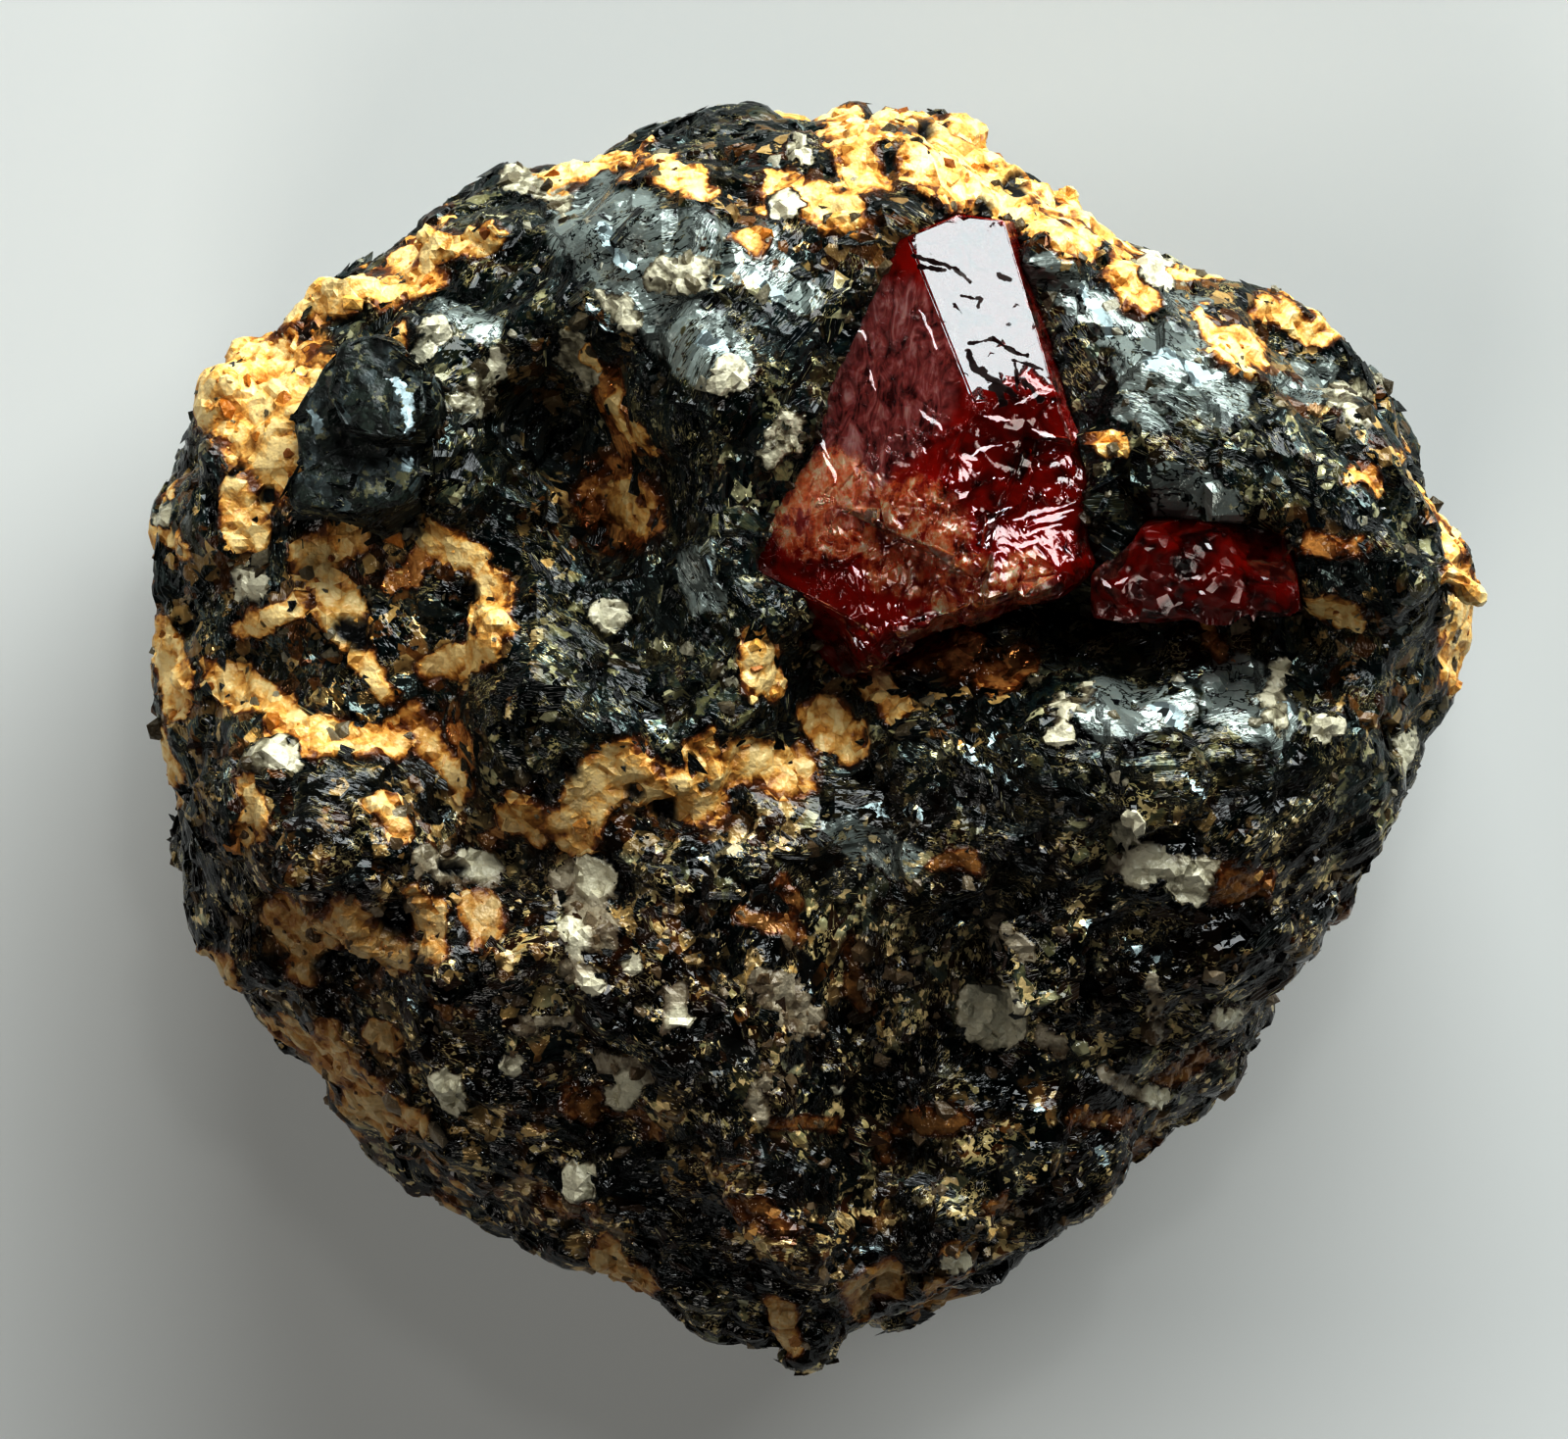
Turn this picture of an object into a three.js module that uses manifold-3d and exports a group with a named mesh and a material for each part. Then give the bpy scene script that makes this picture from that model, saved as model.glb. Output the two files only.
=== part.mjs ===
// A small mineral specimen: two zircon crystals and a black mica crystal set in a piece of mica-rich rock.
//
// Millimetres, +Z up. The specimen lies on the flat break at its back, with the crystals on top.
// The origin is at the middle of its footprint, on the surface that it rests on.
//
// Each crystal is a block that is cut along its faces, as a crystal is described by its faces. The rock is a
// sphere that is drawn out to the specimen's outline and section, pushed into swells and hollows, and set with
// mica plates and pale grains. It has a socket for each crystal.

import * as THREE from "three";
import Module from "manifold-3d";
import { ConvexGeometry } from "three/addons/geometries/ConvexGeometry.js";
import { ImprovedNoise } from "three/addons/math/ImprovedNoise.js";
import { mergeVertices } from "three/addons/utils/BufferGeometryUtils.js";

const wasm = await Module();
wasm.setup();

// ---- Driving dimensions ----

const RIM_HEIGHT = 8.6; // where the specimen is widest
const CROWN_RISE = 8.8; // from the rim to the top of the plain dome
const BELLY_DROP = 9.4; // from the rim to where the underside would end if it weren't broken off flat
const MEAN_RADIUS = 13; // of the whole rock
const SHOULDER = 0.25; // how much fuller than a ball the rock is between its rim and its top
const STEEPNESS = 0.8; // power of the rise from rim to top: 1 gives a ball's section, less gives steeper sides
const FORMS_BEGIN = 0.05; // share of the rise at which the forms below start to tell
const FORMS_FULL = 0.4; // share of the rise from which they tell in full
const RIM_INSET = 0.5; // how far the plain rim lies inside the outline, which the roughness reaches out to
const SOCKET_GAP = 0.3; // clear space round each crystal
const FINEST = 0.03; // no edge or slope finer than this is kept
const ROCK_DETAIL = 15; // steps along each edge of the sphere that the rock starts from
const PROBE = 0.06; // how far apart the rock is read to find which way it faces, as a share of its radius
const AIM_STEPS = 12; // rounds that it takes to aim at a plan point
const BLOCK = 60; // side of the blocks that faces are cut with
const RAW_CRYSTAL = 26; // side of the block that a crystal is cut from

// Plan outline at the rim, anticlockwise from the right.
const OUTLINE = [
  [16.5, 4.0], [15.5, 6.2], [14.7, 8.8], [12.6, 9.7], [10.4, 11.2], [7.2, 12.9],
  [4.9, 14.4], [3.4, 15.5], [-0.9, 15.6], [-2.7, 15.4], [-4.6, 14.6], [-9.2, 13.0],
  [-11.6, 11.4], [-12.8, 9.9], [-15.0, 8.9], [-15.4, 7.2], [-16.5, 5.1], [-16.4, 1.1],
  [-15.8, -1.6], [-15.5, -4.4], [-14.3, -6.6], [-12.0, -9.0], [-9.3, -11.3], [-4.4, -14.0],
  [-1.6, -15.3], [0.4, -15.6], [4.8, -13.8], [7.5, -12.3], [8.9, -9.6], [10.9, -8.4],
  [12.6, -5.8], [14.1, -3.6], [15.3, -1.0], [16.2, 1.6],
];

// Swells, hollows and ledges. Each moves what lies within reach of the line from one plan point to another.
const TOP_FORMS = [
  { name: "bank round the large crystal's end", from: [2.4, 12.6], to: [5.4, 12.2], reach: 2.6, push: [0, 0, 1.0] },
  { name: "ridge left of the large crystal's end", from: [-0.6, 12.4], to: [-1.2, 8.4], reach: 3.2, push: [0, 0, 0.7] },
  { name: "smooth swell at the upper left", from: [-4.2, 11.6], to: [-2.6, 8.2], reach: 3.4, push: [-0.2, 0.2, 1.1] },
  { name: "neck left of the large crystal", from: [-2.9, 7.0], to: [-2.4, 4.2], reach: 2.6, push: [0, 0, 0.5] },
  { name: "deep pocket", from: [-6.1, 7.2], to: [-4.6, 6.0], reach: 2.7, push: [0, 0, -3.4] },
  { name: "pocket's tail", from: [-4.9, 4.4], to: [-4.2, 1.8], reach: 2.0, push: [0, 0, -1.5] },
  { name: "seat of the mica crystal", from: [-10.9, 8.4], to: [-10.4, 6.6], reach: 3.2, push: [0, 0, 0.9] },
  { name: "hollow under the mica crystal", from: [-11.8, 4.2], to: [-8.4, 4.4], reach: 2.0, push: [0, 0.3, -1.5] },
  { name: "hollow left of the middle", from: [-10.6, 2.4], to: [-8.6, 1.4], reach: 2.4, push: [0, 0, -1.0] },
  { name: "knob at the left", from: [-12.4, -2.1], to: [-10.4, -2.9], reach: 2.9, push: [-0.2, 0, 1.6] },
  { name: "gash above the knob", from: [-13.6, 1.5], to: [-9.6, 0.2], reach: 1.6, push: [0, 0, -1.4] },
  { name: "gash right of the knob", from: [-8.9, -0.4], to: [-7.6, -4.0], reach: 1.4, push: [0, 0, -1.2] },
  { name: "middle swell", from: [-5.6, 1.2], to: [-3.2, -0.4], reach: 2.8, push: [0, 0, 1.0] },
  { name: "pale vein's groove", from: [-6.4, -2.6], to: [0.8, -0.3], reach: 1.7, push: [0, 0, -1.0] },
  { name: "recess under the large crystal", from: [0.6, 1.2], to: [6.4, 2.5], reach: 2.0, push: [0, 0.2, -2.4] },
  { name: "recess under the small crystal", from: [6.6, 1.9], to: [12.2, 2.1], reach: 1.5, push: [0, 0.3, -1.9] },
  { name: "right block", from: [8.6, 7.6], to: [12.2, 6.4], reach: 4.4, push: [0.2, -0.5, 1.3] },
  { name: "right block's corner", from: [13.6, 7.2], to: [14.4, 4.0], reach: 2.6, push: [0.5, 0, 1.9] },
  { name: "shelf right of the large crystal", from: [7.6, 9.6], to: [9.6, 8.8], reach: 2.2, push: [0, 0.2, 0.7] },
  { name: "lower right swell", from: [6.5, -1.6], to: [12.6, -1.2], reach: 3.4, push: [0, 0, 1.1] },
  { name: "lower right shoulder", from: [9.6, -5.4], to: [11.6, -4.6], reach: 3.2, push: [0, 0, 0.9] },
  { name: "brown hollow", from: [4.2, -6.8], to: [6.6, -9.4], reach: 2.8, push: [0, 0, -0.9] },
  { name: "middle valley", from: [0.8, -4.2], to: [1.6, -11.2], reach: 1.9, push: [0, 0, -1.3] },
  { name: "lower left swell", from: [-7.4, -6.2], to: [-3.4, -7.6], reach: 4.0, push: [0, 0, 1.0] },
  { name: "foot swell", from: [-1.6, -11.4], to: [-0.4, -12.8], reach: 3.2, push: [0, -0.1, 0.9] },
  { name: "step behind the top edge", from: [-1.0, 14.4], to: [6.6, 13.2], reach: 1.8, push: [0, 0.2, -0.9] },
  { name: "pale slope at the left", from: [-14.2, 8.2], to: [-12.6, 9.4], reach: 2.4, push: [-0.2, 0.1, -1.1] },
  { name: "step at the left edge", from: [-15.4, 4.0], to: [-15.2, -2.4], reach: 1.5, push: [-0.1, 0, -0.8] },
];
const UNDER_FORMS = [
  { name: "broad hollow", from: [8.0, 7.0], to: [11.0, 2.0], reach: 4.6, push: [0, 0, 1.6] },
  { name: "step", from: [-12.0, 6.0], to: [-9.0, -4.0], reach: 3.6, push: [0, 0, 1.3] },
  { name: "lower lump", from: [-2.0, -10.0], to: [3.0, -9.4], reach: 4.0, push: [0, 0, -0.8] },
  { name: "upper lump", from: [-4.0, 9.6], to: [1.0, 10.4], reach: 3.8, push: [0, 0, -0.9] },
  { name: "notch", from: [10.4, -6.2], to: [7.6, -9.2], reach: 2.6, push: [-0.5, 0.4, 1.2] },
];

// Roughness that runs all over the rock: size of its lumps, and how far they stand out.
const LUMPS = [
  { size: 4.6, height: 0.5 },
  { size: 2.1, height: 0.35 },
];
// Broken facets that run all over it: how far each one stands out, and how steeply it leans.
const FACETS = { count: 300, seed: 19, step: 0.3, lean: 0.3 };

// A crystal's faces: the way each one points, and a point on it.
const LARGE_ZIRCON_FACES = [
  { name: "bright pyramid face", normal: [0.2, 0.5, 0.84], through: [4.07, 7.81, 18.2] },
  { name: "left pyramid face", normal: [-0.4, 0.28, 0.87], through: [2.45, 11.9, 16.15] },
  { name: "broken front", normal: [0.3, 0.06, 0.95], through: [2.3, 3.0, 19.0] },
  { name: "lower left face", normal: [-0.5, -0.71, 0.49], through: [-1.57, 4.1, 16.81] },
  { name: "lower right face", normal: [0.45, -0.89, -0.04], through: [1.07, 1.25, 15.3] },
  { name: "upper right face", normal: [0.93, 0.35, 0.15], through: [5.9, 8.48, 17.3] },
  { name: "right face", normal: [0.96, -0.15, 0.22], through: [6.7, 6.26, 17.2] },
  { name: "right corner", normal: [0.72, -0.62, 0.28], through: [6.35, 4.2, 17.5] },
  { name: "top end", normal: [0.1, 0.99, 0.03], through: [4.3, 12.4, 15.5] },
  { name: "top left corner", normal: [-0.36, 0.93, 0.06], through: [2.9, 12.15, 15.9] },
  { name: "left side in the rock", normal: [-0.87, 0.44, 0.2], through: [0.83, 8.95, 16.36] },
  { name: "lower side in the rock", normal: [-0.6, -0.79, 0.05], through: [-0.98, 2.71, 16.0] },
  { name: "root", normal: [0.1, 0.12, -0.98], through: [3.0, 7.0, 12.6] },
];

// Chips that are missing from its broken front. What lies beyond all of a chip's planes at once is gone.
const LARGE_ZIRCON_CHIPS = [
  [
    { name: "lower edge of the front", normal: [0.31, -0.95, -0.06], through: [1.95, 2.4, 17.9] },
    { name: "edge of the dark face", normal: [0.8, -0.59, 0.0], through: [1.5, 1.8, 16.6] },
  ],
  [
    { name: "floor of the right step", normal: [0.42, 0.0, 0.9], through: [5.9, 5.2, 17.3] },
    { name: "wall of the right step", normal: [-0.12, -0.98, 0.15], through: [5.9, 7.0, 17.4] },
    { name: "side of the right step", normal: [0.94, -0.24, 0.25], through: [4.8, 5.5, 17.8] },
  ],
  [
    { name: "floor of the left step", normal: [-0.3, -0.04, 0.95], through: [0.6, 4.2, 17.35] },
    { name: "wall of the left step", normal: [-0.5, -0.84, 0.2], through: [0.9, 5.3, 17.6] },
  ],
];

const SMALL_ZIRCON_FACES = [
  { name: "front", normal: [0.05, -0.28, 0.96], through: [9.3, 3.8, 17.5] },
  { name: "upper left face", normal: [-0.42, 0.52, 0.74], through: [7.9, 4.25, 17.35] },
  { name: "upper right face", normal: [0.34, 0.56, 0.75], through: [10.5, 3.95, 17.25] },
  { name: "top", normal: [0.02, 0.92, 0.4], through: [8.8, 4.85, 16.9] },
  { name: "right face", normal: [0.98, 0.05, 0.1], through: [11.8, 3.5, 16.8] },
  { name: "lower face", normal: [0.04, -0.99, 0.0], through: [9.3, 2.75, 17.1] },
  { name: "left face", normal: [-0.85, -0.2, 0.4], through: [6.9, 3.4, 16.8] },
  { name: "side along the large crystal's corner", normal: [-0.72, 0.62, -0.28], through: [6.67, 3.92, 17.63] },
  { name: "side along the large crystal's right face", normal: [-0.96, 0.15, -0.22], through: [7.13, 6.19, 17.3] },
  { name: "root", normal: [0, 0.1, -0.99], through: [9.3, 4.0, 14.2] },
];

// The mica crystal is a stack of plates: middle, half width and half length, thickness, and turn in degrees.
const MICA_CRYSTAL_TILT = [-0.22, 0.3, 0.93];
const MICA_CRYSTAL_SIDES = 7;
const MICA_CRYSTAL_SKEW = 0.2; // how far every other corner is turned on, as a share of a side
const MICA_CRYSTAL_PLATES = [
  { middle: [-10.6, 7.1, 14.9], half: [1.75, 2.5], thick: 1.6, turn: 8 },
  { middle: [-10.9, 5.95, 16.1], half: [1.75, 0.95], thick: 0.8, turn: 6 },
  { middle: [-10.25, 8.1, 16.3], half: [1.3, 1.5], thick: 1.5, turn: 24 },
];

// Small repeats on the rock.
const PLATES = {
  count: 40, seed: 3, sides: 6, halfWidth: [0.7, 1.5], uneven: [0.75, 1.15], thick: [0.4, 0.6], lean: 0.25, rise: 0.05,
};
const GRAINS = { count: 26, seed: 23, radius: [0.4, 0.85], uneven: [0.75, 1.25], sink: 0.35 };
// Grains that stand out by themselves: plan point and radius.
const LARGE_GRAINS = [
  [12.7, 0.0, 0.5], [14.6, -0.5, 0.6], [4.3, -7.0, 1.1], [8.4, -3.4, 1.3], [-5.4, -10.9, 0.8],
  [-1.9, 8.4, 0.55], [-9.2, 9.6, 0.5], [-12.8, -0.6, 0.8], [-13.9, 7.8, 1.2], [-13.4, 9.0, 1.0],
  [-11.4, 10.7, 0.9], [-3.0, -1.2, 1.0], [-1.0, -0.5, 0.8], [-9.0, 3.2, 1.0], [-7.6, 2.4, 0.8],
  [16.0, 3.4, 0.8], [16.1, 2.2, 0.7], [6.4, 13.2, 1.1], [4.0, 14.6, 1.2], [-4.8, 14.0, 1.1],
];

const COLOURS = {
  rock: { color: 0x2a2f2b, roughness: 0.5, metalness: 0 },
  zircon: { color: 0x6e120c, roughness: 0.15, metalness: 0 },
  mica: { color: 0x161c1c, roughness: 0.25, metalness: 0 },
};

// ---- Solids ----

// The closed solid of a three.js geometry.
function solidOf(geometry) {
  const bare = new THREE.BufferGeometry().setAttribute("position", geometry.getAttribute("position"));
  bare.setIndex(geometry.index);
  const merged = mergeVertices(bare, 1e-4);
  return new wasm.Manifold(new wasm.Mesh({
    numProp: 3,
    vertProperties: new Float32Array(merged.attributes.position.array),
    triVerts: new Uint32Array(merged.index.array),
  }));
}

// A named mesh of a solid.
function meshOf(name, solid, material) {
  const { numProp, vertProperties, triVerts } = solid.getMesh();
  const positions = new THREE.BufferAttribute(new Float32Array(vertProperties), numProp);
  const geometry = new THREE.BufferGeometry().setAttribute("position", positions);
  geometry.setIndex(new THREE.BufferAttribute(new Uint32Array(triVerts), 1));
  geometry.computeVertexNormals();
  const mesh = new THREE.Mesh(geometry, new THREE.MeshStandardMaterial(material));
  mesh.name = name;
  return mesh;
}

// A seeded source of numbers from 0 to 1.
function randomFrom(seed) {
  let state = seed;
  return () => {
    state = (state + 0x6d2b79f5) | 0;
    let mixed = Math.imul(state ^ (state >>> 15), 1 | state);
    mixed = (mixed + Math.imul(mixed ^ (mixed >>> 7), 61 | mixed)) ^ mixed;
    return ((mixed ^ (mixed >>> 14)) >>> 0) / 4294967296;
  };
}

// A block that fills the space on the outer side of a plane, which may be moved out by a gap.
function beyond({ normal, through }, gap = 0) {
  const out = new THREE.Vector3(...normal).normalize();
  const middle = new THREE.Vector3(...through).addScaledVector(out, gap + BLOCK / 2);
  const turn = new THREE.Quaternion().setFromUnitVectors(new THREE.Vector3(0, 0, 1), out);
  const block = new THREE.BoxGeometry(BLOCK, BLOCK, BLOCK).applyQuaternion(turn);
  return solidOf(block.translate(...middle));
}

// The largest of the bodies that a cut has left.
function largest(solid) {
  return solid.decompose().reduce((best, body) => (body.volume() > best.volume() ? body : best));
}

// The crystal that a list of faces encloses.
function crystal(faces, gap = 0) {
  const block = new THREE.BoxGeometry(RAW_CRYSTAL, RAW_CRYSTAL, RAW_CRYSTAL).translate(...faces[0].through);
  return faces.reduce((solid, face) => solid.subtract(beyond(face, gap)), solidOf(block));
}

// A crystal less the chips that have broken off it.
function chipped(solid, chips) {
  const lost = chips.map((planes) => (
    planes.map((plane) => beyond(plane)).reduce((chip, block) => chip.intersect(block))
  ));
  return largest(lost.reduce((rest, chip) => rest.subtract(chip), solid));
}

// ---- Rock ----

const noise = new ImprovedNoise();

// The rim's distance from the middle in a plan direction, read off the outline between its points.
function rimRadius(angle) {
  const turns = OUTLINE.map(([x, y]) => Math.atan2(y, x));
  for (let i = 0; i < OUTLINE.length; i++) {
    const next = (i + 1) % OUTLINE.length;
    const span = THREE.MathUtils.euclideanModulo(turns[next] - turns[i], 2 * Math.PI);
    const past = THREE.MathUtils.euclideanModulo(angle - turns[i], 2 * Math.PI);
    if (past > span) continue;
    const [ax, ay] = OUTLINE[i];
    const [bx, by] = OUTLINE[next];
    const cross = ax * by - ay * bx;
    return cross / (Math.cos(angle) * (by - ay) - Math.sin(angle) * (bx - ax)) - RIM_INSET;
  }
  return 0;
}

// How much a form moves a plan point: 1 on its line, 0 from its reach outwards.
function weightOf({ from, to, reach }, x, y) {
  const line = new THREE.Line3(new THREE.Vector3(...from, 0), new THREE.Vector3(...to, 0));
  const point = new THREE.Vector3(x, y, 0);
  const distance = line.closestPointToPoint(point, true, new THREE.Vector3()).distanceTo(point);
  return Math.max(0, 1 - (distance / reach) ** 2) ** 2;
}

// A direction from the middle, spread evenly over the whole rock.
function anyDirection(random) {
  const z = 2 * random() - 1;
  const angle = 2 * Math.PI * random();
  const flat = Math.sqrt(1 - z * z);
  return new THREE.Vector3(flat * Math.cos(angle), flat * Math.sin(angle), z);
}

// The broken facets, each by the direction of its middle, its step and its lean.
const facets = (() => {
  const random = randomFrom(FACETS.seed);
  return Array.from({ length: FACETS.count }, () => ({
    middle: anyDirection(random),
    step: (2 * random() - 1) * FACETS.step,
    lean: anyDirection(random).multiplyScalar(FACETS.lean * MEAN_RADIUS),
  }));
})();

// How far the broken facet in a direction stands out there.
function facetHeight(direction) {
  const offset = new THREE.Vector3();
  const nearest = facets.reduce((best, facet) => (
    facet.middle.dot(direction) > best.middle.dot(direction) ? facet : best
  ));
  return nearest.step + offset.subVectors(direction, nearest.middle).dot(nearest.lean);
}

// The place on the rock's surface for a direction from its middle.
function rockPoint(direction) {
  const spread = Math.hypot(direction.x, direction.y);
  const rise = Math.abs(direction.z);
  const plan = rimRadius(Math.atan2(direction.y, direction.x)) * (1 + SHOULDER * (1 - spread ** 2));
  const height = (direction.z > 0 ? CROWN_RISE : -BELLY_DROP) * rise ** STEEPNESS;
  const point = new THREE.Vector3(direction.x * plan, direction.y * plan, RIM_HEIGHT + height);
  const moved = point.clone();
  for (const form of direction.z > 0 ? TOP_FORMS : UNDER_FORMS) {
    const share = weightOf(form, point.x, point.y) * THREE.MathUtils.smoothstep(rise, FORMS_BEGIN, FORMS_FULL);
    moved.addScaledVector(new THREE.Vector3(...form.push), share);
  }
  for (const { size, height: out } of LUMPS) {
    const bump = noise.noise(point.x / size, point.y / size, point.z / size);
    moved.addScaledVector(direction, bump * out);
  }
  return moved.addScaledVector(direction, facetHeight(direction));
}

// The direction that the rock's surface faces at a direction from its middle.
function rockNormal(direction) {
  const aside = new THREE.Vector3(0.3, 0.5, 0.8).cross(direction).normalize().multiplyScalar(PROBE);
  const across = direction.clone().cross(aside);
  const [a, b, c] = [new THREE.Vector3(), aside, across].map((step) => rockPoint(
    direction.clone().add(step).normalize(),
  ));
  return b.sub(a).cross(c.sub(a)).normalize();
}

// The rock before anything is set on it or cut from it.
function bareRock() {
  const sphere = new THREE.IcosahedronGeometry(1, ROCK_DETAIL);
  const position = sphere.getAttribute("position");
  const places = new THREE.BufferAttribute(new Float32Array(position.array.length), 3);
  for (let i = 0; i < position.count; i++) {
    const direction = new THREE.Vector3().fromBufferAttribute(position, i).normalize();
    places.setXYZ(i, ...rockPoint(direction));
  }
  return solidOf(new THREE.BufferGeometry().setAttribute("position", places));
}

// The direction from the middle that comes out on top of the rock at a plan point.
function directionTo(x, y) {
  const share = Math.min(1, Math.hypot(x, y) / rimRadius(Math.atan2(y, x)));
  let spread = share;
  for (let i = 0; i < AIM_STEPS; i++) spread = share / (1 + SHOULDER * (1 - spread ** 2));
  const scale = spread / Math.hypot(x, y);
  return new THREE.Vector3(x * scale, y * scale, Math.sqrt(Math.max(0, 1 - spread ** 2)));
}

const between = ([low, high], share) => low + (high - low) * share;

// A six-sided mica plate that lies on the rock, a little askew.
function micaPlate(direction, random) {
  const half = between(PLATES.halfWidth, random());
  const thick = between(PLATES.thick, random());
  const corners = [];
  for (let i = 0; i < PLATES.sides; i++) {
    const angle = (2 * Math.PI * (i + 0.5 * random())) / PLATES.sides;
    const reach = half * between(PLATES.uneven, random());
    for (const z of [-thick, thick]) {
      corners.push(new THREE.Vector3(reach * Math.cos(angle), reach * Math.sin(angle), z / 2));
    }
  }
  const lean = new THREE.Vector3(random() - 0.5, random() - 0.5, random() - 0.5).multiplyScalar(2 * PLATES.lean);
  const facing = rockNormal(direction).add(lean).normalize();
  const turn = new THREE.Quaternion().setFromUnitVectors(new THREE.Vector3(0, 0, 1), facing);
  const middle = rockPoint(direction).addScaledVector(facing, PLATES.rise);
  return solidOf(new ConvexGeometry(corners).applyQuaternion(turn).translate(...middle));
}

// A blunt grain that stands half out of the rock.
function grain(direction, radius, random) {
  const ball = new THREE.IcosahedronGeometry(1, 0);
  const position = ball.getAttribute("position");
  const seen = new Map();
  for (let i = 0; i < position.count; i++) {
    const point = new THREE.Vector3().fromBufferAttribute(position, i);
    const key = point.toArray().map((value) => value.toFixed(3)).join();
    if (!seen.has(key)) seen.set(key, point.multiplyScalar(radius * between(GRAINS.uneven, random())));
  }
  const middle = rockPoint(direction).addScaledVector(rockNormal(direction), -GRAINS.sink * radius);
  return solidOf(new ConvexGeometry([...seen.values()]).translate(...middle));
}

// The mica crystal, or, with a gap, the room that it needs.
function micaCrystal(gap = 0) {
  const facing = new THREE.Vector3(...MICA_CRYSTAL_TILT).normalize();
  const tilt = new THREE.Quaternion().setFromUnitVectors(new THREE.Vector3(0, 0, 1), facing);
  const plates = MICA_CRYSTAL_PLATES.map(({ middle, half, thick, turn }) => {
    const [halfWidth, halfLength] = half.map((value) => value + gap);
    const corners = [];
    for (let i = 0; i < MICA_CRYSTAL_SIDES; i++) {
      const angle = (2 * Math.PI * (i + MICA_CRYSTAL_SKEW * (i % 2))) / MICA_CRYSTAL_SIDES;
      for (const z of [-thick / 2 - gap, thick / 2 + gap]) {
        corners.push(new THREE.Vector3(halfWidth * Math.cos(angle), halfLength * Math.sin(angle), z));
      }
    }
    const plate = new ConvexGeometry(corners).rotateZ(THREE.MathUtils.degToRad(turn));
    return solidOf(plate.applyQuaternion(tilt).translate(...middle));
  });
  return plates.reduce((stack, plate) => stack.add(plate));
}

// The rock with its plates and grains, a socket for each crystal, and the flat break that it rests on.
function rock() {
  const plateRandom = randomFrom(PLATES.seed);
  const grainRandom = randomFrom(GRAINS.seed);
  let solid = bareRock();
  for (let i = 0; i < PLATES.count; i++) {
    solid = solid.add(micaPlate(anyDirection(plateRandom), plateRandom));
  }
  for (let i = 0; i < GRAINS.count; i++) {
    const direction = anyDirection(grainRandom);
    solid = solid.add(grain(direction, between(GRAINS.radius, grainRandom()), grainRandom));
  }
  for (const [x, y, radius] of LARGE_GRAINS) {
    solid = solid.add(grain(directionTo(x, y), radius, grainRandom));
  }
  const sockets = [
    crystal(LARGE_ZIRCON_FACES, SOCKET_GAP),
    crystal(SMALL_ZIRCON_FACES, SOCKET_GAP),
    micaCrystal(SOCKET_GAP),
    beyond({ normal: [0, 0, -1], through: [0, 0, 0] }),
  ];
  return largest(sockets.reduce((rest, cut) => rest.subtract(cut), solid)).simplify(FINEST);
}

const specimen = new THREE.Group();
specimen.add(
  meshOf("matrix_rock", rock(), COLOURS.rock),
  meshOf("zircon_large", chipped(crystal(LARGE_ZIRCON_FACES), LARGE_ZIRCON_CHIPS), COLOURS.zircon),
  meshOf("zircon_small", crystal(SMALL_ZIRCON_FACES), COLOURS.zircon),
  meshOf("mica_crystal", micaCrystal(), COLOURS.mica),
);

export default specimen;
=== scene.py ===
"""Looks of a zircon specimen: two red crystals and a mica book set in glittering mica rock.

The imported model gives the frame, in metres. Shapes are worked in millimetres, and a mesh is made in metres.
The rock is the CAD rock with its sheets, steps and grain worked into it. What is scattered over it (mica
flakes, golden and pale grains, dark crumbs) comes from Geometry Nodes.
"""

import sys
import logging
import math
from collections.abc import Sequence
from dataclasses import dataclass, field
from enum import Enum
from typing import Any

import bmesh
import bpy
import numpy as np
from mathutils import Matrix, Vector
from mathutils.bvhtree import BVHTree


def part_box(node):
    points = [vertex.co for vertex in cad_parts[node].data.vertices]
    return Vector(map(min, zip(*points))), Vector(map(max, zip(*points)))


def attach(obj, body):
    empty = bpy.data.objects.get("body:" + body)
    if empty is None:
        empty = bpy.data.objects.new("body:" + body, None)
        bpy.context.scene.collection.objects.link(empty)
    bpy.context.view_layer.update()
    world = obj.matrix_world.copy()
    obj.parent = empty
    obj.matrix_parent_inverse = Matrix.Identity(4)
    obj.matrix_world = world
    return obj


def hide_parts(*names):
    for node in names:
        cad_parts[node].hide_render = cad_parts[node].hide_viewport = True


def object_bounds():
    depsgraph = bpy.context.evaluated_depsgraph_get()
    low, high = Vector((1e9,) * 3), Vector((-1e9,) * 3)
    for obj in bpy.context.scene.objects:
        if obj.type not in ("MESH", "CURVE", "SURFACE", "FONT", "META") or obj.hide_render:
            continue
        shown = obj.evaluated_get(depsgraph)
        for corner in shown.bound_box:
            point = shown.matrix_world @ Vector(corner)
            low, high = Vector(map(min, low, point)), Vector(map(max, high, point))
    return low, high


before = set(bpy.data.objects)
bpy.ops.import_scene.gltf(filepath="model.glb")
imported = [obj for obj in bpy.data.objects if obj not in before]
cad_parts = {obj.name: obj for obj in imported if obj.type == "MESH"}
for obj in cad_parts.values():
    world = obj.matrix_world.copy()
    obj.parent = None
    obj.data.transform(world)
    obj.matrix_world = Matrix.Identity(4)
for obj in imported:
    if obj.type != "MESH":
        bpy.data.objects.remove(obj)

CAD_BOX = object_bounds()
MM = 0.001
BODY = "root"
log = logging.getLogger("specimen")

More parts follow.
